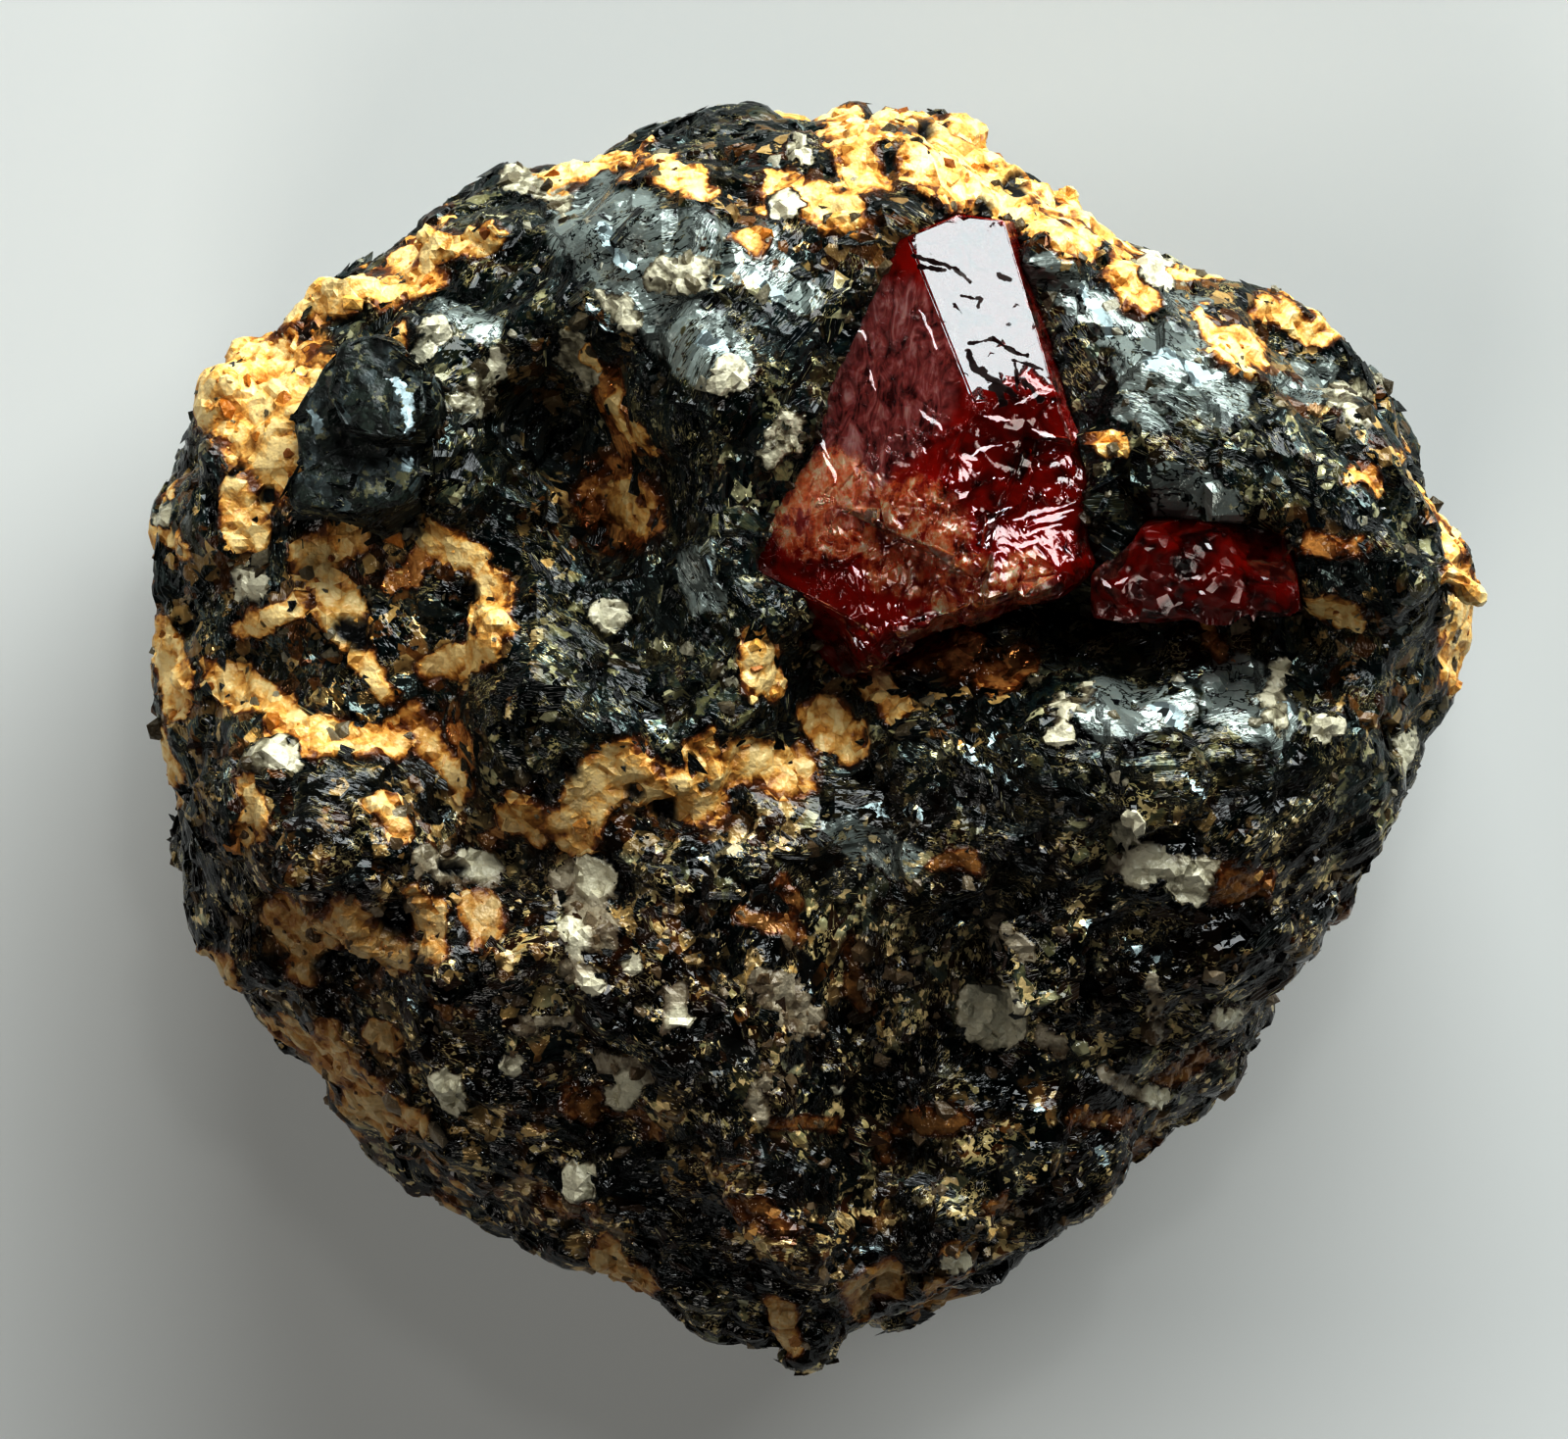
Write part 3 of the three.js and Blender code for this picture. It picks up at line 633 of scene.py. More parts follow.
# Dark round grains that leave pits in the golden crust: plan point and reach.
PITS: tuple[Spot, ...] = (
    (-9.6, 4.7, 0.45), (-11.05, 2.5, 0.5), (-3.5, -1.9, 0.38), (-10.0, -4.6, 0.5), (-11.6, -5.7, 0.36),
    (-10.8, -5.7, 0.36), (-8.6, -3.3, 0.26), (-5.8, -1.0, 0.36), (-14.05, 6.25, 0.24), (-13.1, 5.6, 0.26),
    (-4.15, -1.6, 0.3), (5.1, 13.4, 0.4), (1.55, 15.3, 0.3), (3.0, 14.6, 0.3), (-8.3, 3.3, 0.4),
    (4.2, 12.9, 0.25),
)

# Pale feldspar and quartz grains that stand out of the rock: plan point and reach.
LUMPS: tuple[Spot, ...] = (
    (4.5, -6.9, 0.95), (8.2, -3.45, 0.6), (9.2, -3.6, 0.6), (12.7, 0.0, 0.45), (14.7, -0.4, 0.5),
    (-5.4, -10.9, 0.6), (-1.9, 8.4, 0.5), (-12.7, -0.6, 0.55), (-8.7, -8.7, 0.5), (-5.2, -3.6, 0.55),
    (-5.6, -4.9, 0.45), (-4.1, -5.5, 0.35), (-5.1, -6.1, 0.35), (-9.0, 9.5, 0.45), (-4.7, 2.9, 0.45),
    (8.5, 11.1, 0.55), (7.8, -2.4, 0.4), (-3.1, -7.0, 0.4), (-4.4, -8.8, 0.5), (-7.2, -8.1, 0.4),
    (8.5, -8.9, 0.4), (0.6, -8.6, 0.25), (3.6, -13.0, 0.35), (-0.1, 14.0, 0.4), (-0.6, 12.6, 0.5),
    (-15.6, 5.1, 0.4), (-13.7, 3.45, 0.4), (-8.1, -3.2, 0.5), (6.1, -0.2, 0.35), (10.2, -7.0, 0.3),
)

# Plan points, and the way the mica's edges run there, in degrees from +X.
STREAMS: tuple[Spot, ...] = (
    (-1.5, 9.0, 62), (-0.8, 11.2, 38), (-2.8, 6.0, 100), (-3.0, 3.0, 75), (-7.0, 10.5, 58), (-4.5, 12.3, 12),
    (0.0, 14.2, -8), (6.4, 9.5, 112), (9.0, 6.5, 2), (12.0, 7.0, -28), (9.0, 0.2, 22), (5.0, -0.6, -52),
    (8.5, -5.3, -4), (8.0, -2.2, -20), (1.5, -2.2, -4), (-4.0, 0.5, -26), (-7.0, 1.5, -16), (-9.2, 0.2, -55),
    (-14.0, 3.4, -50), (-15.0, -3.2, -60), (-11.0, -2.6, -10), (-6.0, -8.0, -20), (0.0, -9.0, -40),
    (1.4, -6.2, 86), (5.0, -10.2, -15), (-2.0, -13.0, -15), (8.0, -10.5, -10), (12.0, -3.2, -10),
    (13.6, 1.0, -30), (11.4, 9.6, -42), (-11.0, 8.0, 70), (-12.5, -9.0, -50),
)

# Cracks in the large crystal's bright face, and the thin bright faces on it and on the small one, in plan.
LARGE_CRACKS: tuple[Line, ...] = (
    (2.55, 11.5, 3.1, 11.3), (3.1, 11.3, 3.55, 11.17), (3.55, 11.17, 3.95, 10.85), (2.7, 11.2, 3.3, 11.1),
    (3.75, 10.5, 4.2, 10.45), (4.2, 10.45, 4.15, 10.25), (3.9, 9.35, 4.5, 9.45), (4.5, 9.45, 5.0, 9.15),
    (5.0, 9.15, 5.3, 9.05), (5.0, 8.95, 5.7, 8.75), (5.05, 8.85, 5.05, 8.25), (4.6, 11.0, 4.9, 10.9),
)
LARGE_GASHES: tuple[Line, ...] = (
    (3.85, 9.05, 4.4, 8.5), (4.4, 8.5, 5.0, 8.1), (4.45, 8.3, 4.7, 7.9), (5.3, 8.4, 5.6, 8.0),
)
LARGE_SLIVERS: tuple[Line, ...] = (
    (2.7, 10.15, 3.15, 9.25), (0.3, 7.2, 0.5, 6.6), (0.36, 6.7, 0.6, 6.0), (1.55, 8.7, 1.65, 8.2),
    (1.1, 9.9, 1.4, 9.4), (2.8, 7.7, 3.2, 7.2), (5.0, 7.9, 5.9, 8.25), (5.4, 7.25, 6.0, 7.0),
    (3.7, 6.5, 4.7, 6.9), (4.3, 5.0, 5.0, 5.4), (5.0, 5.15, 6.4, 5.5), (5.2, 5.0, 6.4, 5.3),
    (5.1, 4.75, 6.1, 4.95), (5.1, 4.5, 5.7, 4.6), (1.0, 2.3, 1.5, 1.8), (5.3, 5.05, 6.2, 5.15),
    (4.3, 7.6, 4.9, 7.5),
)
SMALL_SLIVERS: tuple[Line, ...] = (
    (7.2, 3.7, 7.35, 3.5), (7.45, 3.6, 7.75, 3.7), (9.25, 3.7, 9.45, 3.7), (9.5, 3.4, 9.65, 3.3),
    (9.6, 4.5, 9.8, 4.4), (10.95, 3.75, 11.1, 3.7), (8.6, 3.4, 8.75, 3.35),
)
TO_LIGHT: Point3 = (0.2, 0.48, 0.86)
TO_SHADE: Point3 = (-0.3, -0.5, 0.8)


# ---- Meshes ----


@dataclass
class Shell:
    """A closed surface as arrays, in millimetres."""

    points: np.ndarray
    faces: np.ndarray

    @classmethod
    def of(cls, mesh: bpy.types.Mesh) -> "Shell":
        """Reads a mesh in millimetres whose faces all have the same number of corners.

        Args:
            mesh: The mesh.

        Returns:
            Its surface.
        """
        points = np.empty(3 * len(mesh.vertices))
        mesh.vertices.foreach_get("co", points)
        corners = np.empty(len(mesh.loops), dtype=np.int64)
        mesh.loops.foreach_get("vertex_index", corners)
        return cls(points.reshape(-1, 3), corners.reshape(len(mesh.polygons), -1))

    def mesh(self, name: str) -> bpy.types.Mesh:
        """Makes a mesh of the surface, in metres.

        Args:
            name: The mesh's name.

        Returns:
            The mesh.
        """
        mesh = bpy.data.meshes.new(name)
        mesh.from_pydata((self.points * MM).tolist(), [], self.faces.tolist())
        mesh.update()
        return mesh

    def normals(self) -> np.ndarray:
        """The direction that the surface faces at each point."""
        corners = self.points[self.faces]
        across = np.cross(corners[:, 2] - corners[:, 0], corners[:, -1] - corners[:, 1])
        total = np.zeros_like(self.points)
        for column in self.faces.T:
            for axis in range(3):
                total[:, axis] += np.bincount(column, across[:, axis], len(self.points))
        return total / np.maximum(np.linalg.norm(total, axis=1, keepdims=True), 1e-12)

    def smoothed(self, values: np.ndarray, rounds: int) -> np.ndarray:
        """Evens out what the points carry over their neighbours.

        Args:
            values: N by K values.
            rounds: How often.

        Returns:
            The evened values.
        """
        start, end = self.faces.ravel(), np.roll(self.faces, -1, axis=1).ravel()
        count = np.bincount(start, minlength=len(self.points))[:, None]
        for _ in range(rounds):
            total = [np.bincount(start, column, len(self.points)) for column in values[end].T]
            values = 0.5 * values + 0.5 * np.stack(total, 1) / count
        return values


def carry(mesh: bpy.types.Mesh, marks: dict[str, np.ndarray]) -> None:
    """Puts numbers and vectors on each point of a mesh.

    Args:
        mesh: The mesh.
        marks: N numbers, or N by 3, under each attribute's name.
    """
    for name, values in marks.items():
        vector = values.ndim == 2
        attribute = mesh.attributes.new(name, "FLOAT_VECTOR" if vector else "FLOAT", "POINT")
        attribute.data.foreach_set("vector" if vector else "value", values.astype(np.float32).ravel())


def merged_copy(node: str) -> bmesh.types.BMesh:
    """A copy of a CAD node's mesh in millimetres, its triangles joined.

    Args:
        node: The node's name.

    Returns:
        The copy.
    """
    copy = bmesh.new()
    copy.from_mesh(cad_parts[node].data)
    bmesh.ops.scale(copy, vec=Vector((1, 1, 1)) / MM, verts=copy.verts)
    bmesh.ops.remove_doubles(copy, verts=copy.verts, dist=1e-4)
    return copy


def evaluated(piece: bpy.types.Object) -> bpy.types.Mesh:
    """The mesh that an object's modifiers make of it."""
    graph = bpy.context.evaluated_depsgraph_get()
    return bpy.data.meshes.new_from_object(piece.evaluated_get(graph), depsgraph=graph)


def new_piece(name: str, mesh: bpy.types.Mesh) -> bpy.types.Object:
    """Makes an object at the origin."""
    piece = bpy.data.objects.new(name, mesh)
    bpy.context.scene.collection.objects.link(piece)
    return piece


def settle(piece: bpy.types.Object, slot: str, *nodes: str) -> bpy.types.Object:
    """Ties a finished piece to the body.

    Args:
        piece: The piece.
        slot: The name of a material slot; it is not used.
        nodes: The CAD nodes that it stands for.

    Returns:
        The piece.
    """
    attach(piece, BODY)
    if nodes:
        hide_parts(*nodes)
    triangles = sum(len(face.vertices) - 2 for face in piece.data.polygons)
    log.info("%s: %d triangles", piece.name, triangles)
    return piece


# ---- Finishes ----


@dataclass(frozen=True)
class RockFinish:
    """Streaked mica rock with golden, orange and pale crusts."""

    black: Colour = (0.001, 0.0016, 0.0015)
    green: Colour = (0.006, 0.0135, 0.01)
    blue: Colour = (0.013, 0.029, 0.029)
    olive: Colour = (0.04, 0.042, 0.018)
    brown: Colour = (0.03, 0.012, 0.005)
    # edge is partly the pale colour of thin mica edges and partly a painted glint along them.
    edge: Colour = (0.42, 0.37, 0.2)
    glitter: Colour = (0.09, 0.115, 0.11)
    # painted_sheen is a painted reflection: the pale grey-blue laid on the mica sheets as base colour.
    painted_sheen: Colour = (0.35, 0.39, 0.365)
    # spark is the colour of painted glints: tiny specks and edge lines in the lower half.
    spark: Colour = (0.85, 0.68, 0.4)
    blade: Colour = (0.18, 0.21, 0.21)
    stain: Colour = (0.11, 0.035, 0.009)
    tan: Colour = (0.2, 0.14, 0.09)
    greys: tuple[tuple[float, Colour], ...] = (
        (0.2, (0.03, 0.018, 0.008)), (0.38, (0.14, 0.125, 0.06)), (0.52, (0.055, 0.08, 0.07)),
        (0.66, (0.29, 0.275, 0.15)), (0.84, (0.58, 0.56, 0.38)),
    )
    ochres: tuple[tuple[float, Colour], ...] = (
        (0.2, (0.05, 0.015, 0.004)), (0.4, (0.2, 0.09, 0.025)), (0.6, (0.34, 0.24, 0.11)),
        (0.82, (0.66, 0.48, 0.22)),
    )
    gold: tuple[Colour, ...] = ((0.2, 0.07, 0.016), (0.56, 0.29, 0.07), (0.84, 0.55, 0.2), (0.94, 0.76, 0.42))
    orange: tuple[Colour, ...] = ((0.03, 0.009, 0.003), (0.26, 0.085, 0.018), (0.68, 0.38, 0.14))
    pale: tuple[Colour, ...] = ((0.02, 0.017, 0.01), (0.12, 0.1, 0.065), (0.3, 0.28, 0.2), (0.66, 0.63, 0.5))

    def material(self) -> bpy.types.Material:
        """Builds the material."""
        material, tree, shader = new_material("mica_rock")
        layers = tree.attribute("layers", "Vector")
        streak = tree.noise(900.0, roughness=0.6, at=layers)
        hair = tree.noise(420.0, detail=3.0, roughness=0.65, at=layers)
        fibre = tree.noise(150.0, roughness=0.6, at=layers)
        coarse, middle = tree.noise(1.1), tree.noise(0.6)
        fine, speck = tree.noise(0.26, roughness=0.6), tree.noise(0.1, detail=1.0)
        lean, pick, other = tree.grains(0.42)
        plate_lean, plate_pick, plate_other = tree.grains(700.0, layers)
        ragged = (coarse - 0.5) * 0.4 + (fine - 0.5) * 0.35 + (pick - 0.5) * 0.2
        shares = {name: tree.attribute(name) + ragged for name in ("gold", "orange", "pale", "sheet")}
        gold, orange = shares["gold"].between(0.45, 0.53), shares["orange"].between(0.44, 0.56)
        pale = (shares["pale"] + (fine - 0.5) * 0.8).between(0.5, 0.58)
        sheet = shares["sheet"].between(0.42, 0.6)
        blade = (tree.attribute("blade") + (fibre - 0.5) * 1.2 + (fine - 0.5) * 0.7).between(0.5, 0.6)
        warm = tree.attribute("warm")

        mica = tree.ramp(streak * 0.35 + fine * 0.2 + fibre * 0.2 + plate_other * 0.25, (
            (0.36, self.black), (0.46, self.green), (0.51, self.black), (0.58, self.blue), (0.66, self.olive),
            (0.74, self.brown),
        ))
        mica = tree.mix(warm * (plate_other + fine - 0.5).between(0.3, 0.75) * 0.9, mica, self.brown)
        zone = tree.noise(2.4) - 0.5
        dust = (middle * 0.6 + fibre * 0.4 + (coarse - 0.5) * 0.4 + zone * 0.5).between(0.55, 0.68)
        mica = tree.mix(dust * (0.5 - warm * 0.25), mica, tree.mix(pick, self.olive, self.stain))
        glitter = (plate_pick + (fibre - 0.5) * 0.3).between(0.8, 0.9) * (1 - sheet) * (1 - warm * 0.6)
        mica = tree.mix(glitter, mica, self.glitter)
        # Bright lines along the mica's edges: partly the thin edges' own pale colour, partly painted glints.
        lines = self.lines(hair, 0.5, 0.016).max(self.lines(fibre, 0.42, 0.03))
        lines = lines * (coarse + (middle - 0.5) * 0.6).between(0.46, 0.62)
        mica = tree.mix(lines * (1 - sheet * 0.6), mica, tree.mix(warm * 0.4, self.edge, self.spark))
        folds = self.lines(hair, 0.46, 0.03) * sheet
        # Painted sheen: the mica sheets take a pale grey-blue base colour that stands in for their
        # reflection.
        mica = tree.mix(sheet * (1 - folds) * (0.55 + plate_other * 0.45), mica, self.painted_sheen)
        mica = tree.mix(blade, mica, self.blade)
        tone = coarse * 0.2 + middle * 0.2 + fine * 0.24 + speck * 0.1 + pick * 0.14
        # Painted shade: the tone drops at the borders between grains, darkening the creases there.
        tone = tone + tree.attribute("seam") * 0.12
        ochre = tree.attribute("ochre")
        dusted = other + (coarse - 0.5) * 0.9 + (fine - 0.5) * 0.9 + zone * (0.9 + warm * 0.9)
        dusted = dusted + ochre * 0.13 - warm * 0.03 - sheet * 0.3
        kind = pick * 0.7 + fine * 0.3
        grains = tree.mix(ochre.between(0.3, 0.7), tree.ramp(kind, self.greys), tree.ramp(kind, self.ochres))
        mica = tree.mix(dusted.between(0.77, 0.85) * (0.5 + middle * 0.8), mica, grains)
        # Painted glints: sparse tiny grains in the lower half take a bright golden-white colour that stands
        # in for glints.
        glint_grain_lean, glint_grain_pick, _ = tree.grains(0.2)
        painted_glints = glint_grain_pick + (coarse - 0.5) * 1.1 + (fibre - 0.5) * 0.9 + (glint_grain_lean - 0.5) * 0.3
        painted_glints = (painted_glints + zone * 0.9).between(0.93, 0.99)
        mica = tree.mix(painted_glints * warm, mica, tree.mix(other, self.edge, self.spark))
        # Painted shade: in patches of the lower half the mica is darkened towards black.
        painted_shade = warm * (1 - painted_glints) * (1 - (middle * 0.6 + coarse * 0.4 + zone * 0.6).between(0.44, 0.58))
        mica = tree.mix(painted_shade * 0.75, mica, self.black)
        crust = gold.max(pale)
        stained = shares["gold"].max(shares["orange"]).between(0.2, 0.48)
        colour = tree.mix(stained * (0.4 + fine * 0.6), mica, self.stain)
        rusty = self.crusted(tree, tone, shares["orange"], self.orange)
        colour = tree.mix(orange, colour, tree.mix(warm * 0.55, rusty, self.brown))
        lump = tree.attribute("lump")
        feldspar = self.crusted(tree, tone + 0.02 + lump * 0.1, shares["pale"], self.pale)
        colour = tree.mix(pale, colour, tree.mix(warm * (0.55 - lump * 0.5), feldspar, self.tan))
        golden = self.crusted(tree, tone, shares["gold"], self.gold)
        # Towards the bottom the gold is mixed towards the dark stain colour, so it is darker and browner
        # there.
        colour = tree.mix(gold, colour, tree.mix(warm * (0.2 + fine * 0.5), golden, self.stain))
        colour = tree.mix(tree.attribute("pit"), colour, self.black)
        bright = (blade * 0.7 + sheet * plate_pick.between(0.3, 0.7) * 0.3) * (1 - crust)
        shiny = glitter.max(sheet * 0.35)
        grown = tree.attribute("gold").max(tree.attribute("orange")).max(tree.attribute("pale"))
        grown = grown.between(0.4, 0.58)
        relief = tree.bump(plate_lean * (1 - grown) + lean * grown, 0.12)
        ridges, grit = hair * 0.5 + fibre * 0.5, fine * 0.7 + speck * 0.3
        relief = tree.bump(ridges * (1 - grown) + grit * grown, 0.07, relief)
        dress(tree, shader, {
            "Base Color": colour,
            "Roughness": 0.07 + crust * 0.32 + (coarse - 0.5) * 0.1 + (sheet + blade) * 0.14,
            "Metallic": (shiny * 0.7).max(blade) * (1 - crust) * 0.9,
            "IOR": 1.58,
            "Normal": tree.turned(TO_LIGHT, 0.35, 0.35, bright, relief),
        })
        return material

    def lines(self, height: Value, level: float, width: float) -> Value:
        """Thin lines along which a height has a given level."""
        return 1 - abs(height - level).between(0.3 * width, width)

    def crusted(self, tree: Tree, tone: Value, share: Value, colours: Sequence[Colour]) -> Value:
        """A crust's colour, which darkens towards its border.

        Args:
            tree: The tree.
            tone: The tone of its grains.
            share: How far inside the crust a place is.
            colours: Its colours, dark to bright.

        Returns:
            The colour.
        """
        places = np.linspace(0.4, 0.66, len(colours)).tolist()
        return tree.ramp(tone + share.between(0.42, 0.85) * 0.18 - 0.08, tuple(zip(places, colours)))


@dataclass(frozen=True)
class FlakeFinish:
    """Glossy mica flakes, black-green to pearly grey, with fine edge lines that are partly painted glint."""

    dark: Colour = (0.0015, 0.0024, 0.0022)
    green: Colour = (0.008, 0.014, 0.011)
    blue: Colour = (0.014, 0.025, 0.03)
    olive: Colour = (0.05, 0.048, 0.02)
    pearl: Colour = (0.13, 0.16, 0.16)
    rust: Colour = (0.06, 0.026, 0.01)
    # edge is partly the pale colour of the flakes' thin edges and partly a painted glint.
    edge: Colour = (0.4, 0.37, 0.22)

    def material(self) -> bpy.types.Material:
        """Builds the material."""
        material, tree, shader = new_material("mica_flakes")
        tone, warm = tree.attribute("tone"), tree.attribute("warm")
        own = tree.vector("ADD", tree.attribute("own", "Vector"), tree.vector("SCALE", (7.0, 3.0, 5.0), tone))
        fibre = tree.noise(1000.0, roughness=0.6, at=tree.vector("MULTIPLY", own, (1.4, 7.0, 1.0)))
        fine = tree.noise(0.3, detail=1.0)
        colour = tree.ramp(tone * 0.75 + (fibre - 0.5) * 0.5 + (fine - 0.5) * 0.3 + 0.1, (
            (0.1, self.dark), (0.4, self.green), (0.55, self.dark), (0.7, self.blue), (0.8, self.olive),
            (0.95, self.pearl),
        ))
        colour = tree.mix(warm * tone.between(0.3, 0.9) * 0.8, colour, self.rust)
        # Lines along the flakes: partly their edges' own pale colour, partly painted glints.
        colour = tree.mix(fibre.between(0.62, 0.66) * tone.between(0.2, 0.6), colour, self.edge)
        dress(tree, shader, {
            "Base Color": colour,
            "Roughness": 0.05 + fine * 0.13,
            "IOR": 1.58,
            "Normal": tree.bump(fibre * 0.7 + fine * 0.3, 0.11),
        })
        return material


@dataclass(frozen=True)
class GrainFinish:
    """Small grains whose tone changes from one to the next."""

    name: str
    tones: tuple[Colour, ...]
    roughness: float
    clear: float = 0.0
    warmed: Colour = (0.3, 0.19, 0.1)

    def material(self) -> bpy.types.Material:
        """Builds the material."""
        material, tree, shader = new_material(self.name)
        tone = tree.attribute("tone") * 0.7 + tree.noise(0.16) * 0.2 + tree.noise(0.5) * 0.1
        places = np.linspace(0.12, 0.88, len(self.tones)).tolist()
        dress(tree, shader, {
            "Base Color": tree.mix(
                tree.attribute("warm") * 0.6, tree.ramp(tone, tuple(zip(places, self.tones))), self.warmed,
            ),
            "Roughness": self.roughness + tree.noise(0.2) * 0.2,
            "Transmission Weight": self.clear,
            "IOR": 1.53,
            "Normal": tree.bump(tree.noise(0.14), 0.05),
        })
        return material


@dataclass(frozen=True)
class ZirconFinish:
    """Deep red, glassy zircon with cloudy brown zones, hazy streaks, cracks and thin bright faces."""

    name: str
    red: Colour = (0.5, 0.012, 0.003)
    deep: Colour = (0.05, 0.0012, 0.0008)
    cloud: tuple[Colour, ...] = ((0.36, 0.014, 0.003), (0.92, 0.27, 0.09), (1.0, 0.75, 0.56))
    haze: tuple[Colour, ...] = ((0.11, 0.008, 0.009), (0.48, 0.13, 0.12), (0.75, 0.45, 0.42))
    glass: Colour = (0.012, 0.016, 0.02)
    clear: float = 0.5
    matte: float = 0.06
    gloss: float = 0.5
    cracks: tuple[Line, ...] = ()
    gashes: tuple[Line, ...] = ()
    slivers: tuple[Line, ...] = ()

    def material(self) -> bpy.types.Material:
        """Builds the material."""
        material, tree, shader = new_material(self.name)
        swirl = tree.noise(1.5, detail=3.0, roughness=0.6, warp=0.6)
        flaws = tree.noise(0.9, detail=1.0, warp=1.5)
        fine = tree.noise(0.3, detail=3.0, roughness=0.65)
        lean, _, _ = tree.grains(0.5)
        chip_lean, chip, _ = tree.grains(0.28)
        slanted = tree.vector("MULTIPLY", tree.place(), (1.6, 0.5, 1.0))
        streak = tree.noise(0.5, detail=3.0, roughness=0.7, warp=1.0, at=slanted)
        cloud = (tree.attribute("cloud") + (swirl - 0.5) * 1.2 + (fine - 0.5) * 0.6).between(0.36, 0.7)
        haze = (tree.attribute("haze") + (swirl - 0.5) * 0.7).between(0.3, 0.7)
        broken = (tree.attribute("broken") + (lean - 0.5) * 0.7 + (fine - 0.5) * 0.3).between(0.22, 0.34)
        window, dim = tree.attribute("window") * (1 - broken), tree.attribute("dim")
        colour = tree.mix((swirl * 0.6 + flaws * 0.4).between(0.34, 0.56), self.deep, self.red)
        hazy = tree.ramp(streak * 0.7 + flaws * 0.25 + chip * 0.05, tuple(zip((0.38, 0.52, 0.66), self.haze)))
        colour = tree.mix(haze, colour, hazy)
        veils = fine * 0.35 + flaws * 0.25 + chip * 0.08 + streak * 0.32
        colour = tree.mix(cloud, colour, tree.ramp(veils, tuple(zip((0.42, 0.53, 0.66), self.cloud))))
        web = 1 - abs(streak - 0.5).between(0.004, 0.03)
        colour = tree.mix(web * cloud * fine.between(0.4, 0.6) * 0.8, colour, self.cloud[-1])
        colour = tree.mix(window * 0.9, colour, self.glass)
        crack = tree.strokes(self.cracks, 0.08, 0.16, fine) if self.cracks else fine * 0
        if self.gashes:
            crack = crack.max(tree.strokes(self.gashes, 0.14, 0.3, lean * 0.6 + fine * 0.4))
        colour = tree.mix(crack, colour, self.deep)
        sliver = tree.strokes(self.slivers, 0.1, 0.45, streak * 0.6 + fine * 0.4, 0.7)
        conchoidal = flaws * 0.55 + lean * 0.3 + chip_lean * 0.15
        depth = (broken + (1 - window) * (1 - broken) * 0.2) * (1 - dim * 0.7)
        normal = tree.bump(conchoidal * depth, 0.3, tree.bump(fine * 0.6 + streak * 0.4, 0.02))
        normal = tree.turned(TO_SHADE, 0.3, 0.3, crack.max(dim), normal)
        normal = tree.turned(TO_LIGHT, 0.16, 0.2, sliver * (1 - window), normal)
        dull = cloud * 0.14 + haze * (1 - window) * 0.12 + crack * 0.3
        dress(tree, shader, {
            "Base Color": colour,
            "Roughness": self.matte * (1 - sliver) + (fine - 0.5) * 0.1 + dull,
            "Coat Weight": sliver * 0.4,
            "Coat Roughness": 0.05,
            "Specular IOR Level": self.gloss,
            "Transmission Weight": self.clear,
            "Subsurface Weight": 0.6,
            "Subsurface Radius": (1.0, 0.06, 0.03),
            "Subsurface Scale": 2.5 * MM,
            "IOR": 1.93,
            "Normal": normal,
        })
        return material


@dataclass(frozen=True)
class BookFinish:
    """A book of dark green mica with olive flecks and a few bright cleavage faces, partly painted highlight.
    """

    dark: Colour = (0.01, 0.014, 0.011)
    green: Colour = (0.045, 0.062, 0.05)
    blue: Colour = (0.11, 0.14, 0.14)
    fleck: Colour = (0.24, 0.23, 0.13)
    # bright is the colour of painted highlights, laid along the slivers' strokes on the cleavage faces.
    bright: Colour = (0.3, 0.36, 0.37)
    slivers: tuple[Line, ...] = (
        (-9.9, 8.35, -9.6, 7.9), (-9.75, 7.9, -9.65, 6.9), (-9.8, 7.0, -9.7, 6.4), (-10.0, 8.5, -9.85, 8.2),
        (-12.0, 7.6, -11.8, 7.3),
    )

    def material(self) -> bpy.types.Material:
        """Builds the material."""
        material, tree, shader = new_material("mica_book")
        own = tree.attribute("layers", "Vector")
        layers = tree.noise(1000.0, detail=3.0, roughness=0.6, warp=0.4, at=own)
        middle = tree.noise(0.7, detail=3.0, roughness=0.6, warp=0.5)
        fine = tree.noise(0.22, detail=3.0, roughness=0.6)
        lean, pick, _ = tree.grains(0.35)
        colour = tree.ramp(layers * 0.4 + middle * 0.4 + pick * 0.2, (
            (0.4, self.dark), (0.47, self.green), (0.51, self.dark), (0.6, self.blue),
        ))
        flecks = fine * 0.6 + layers * 0.4 + (middle - 0.5) * 0.5
        colour = tree.mix(flecks.between(0.57, 0.61) * 0.8, colour, self.fleck)
        # Painted highlight: pale strokes on the cleavage faces, whose normals are also turned to the light.
        bright = tree.strokes(self.slivers, 0.22, 0.5, fine)
        colour = tree.mix(bright, colour, self.bright)
        normal = tree.bump(layers * 0.3 + middle * 0.3 + fine * 0.2 + lean * 0.2, 0.2)
        dress(tree, shader, {
            "Base Color": colour,
            "Roughness": 0.28 + fine * 0.25,
            "Metallic": bright * 0.4,
            "IOR": 1.6,
            "Normal": tree.turned(TO_LIGHT, 0.3, 0.3, bright * 0.7, normal),
        })
        return material


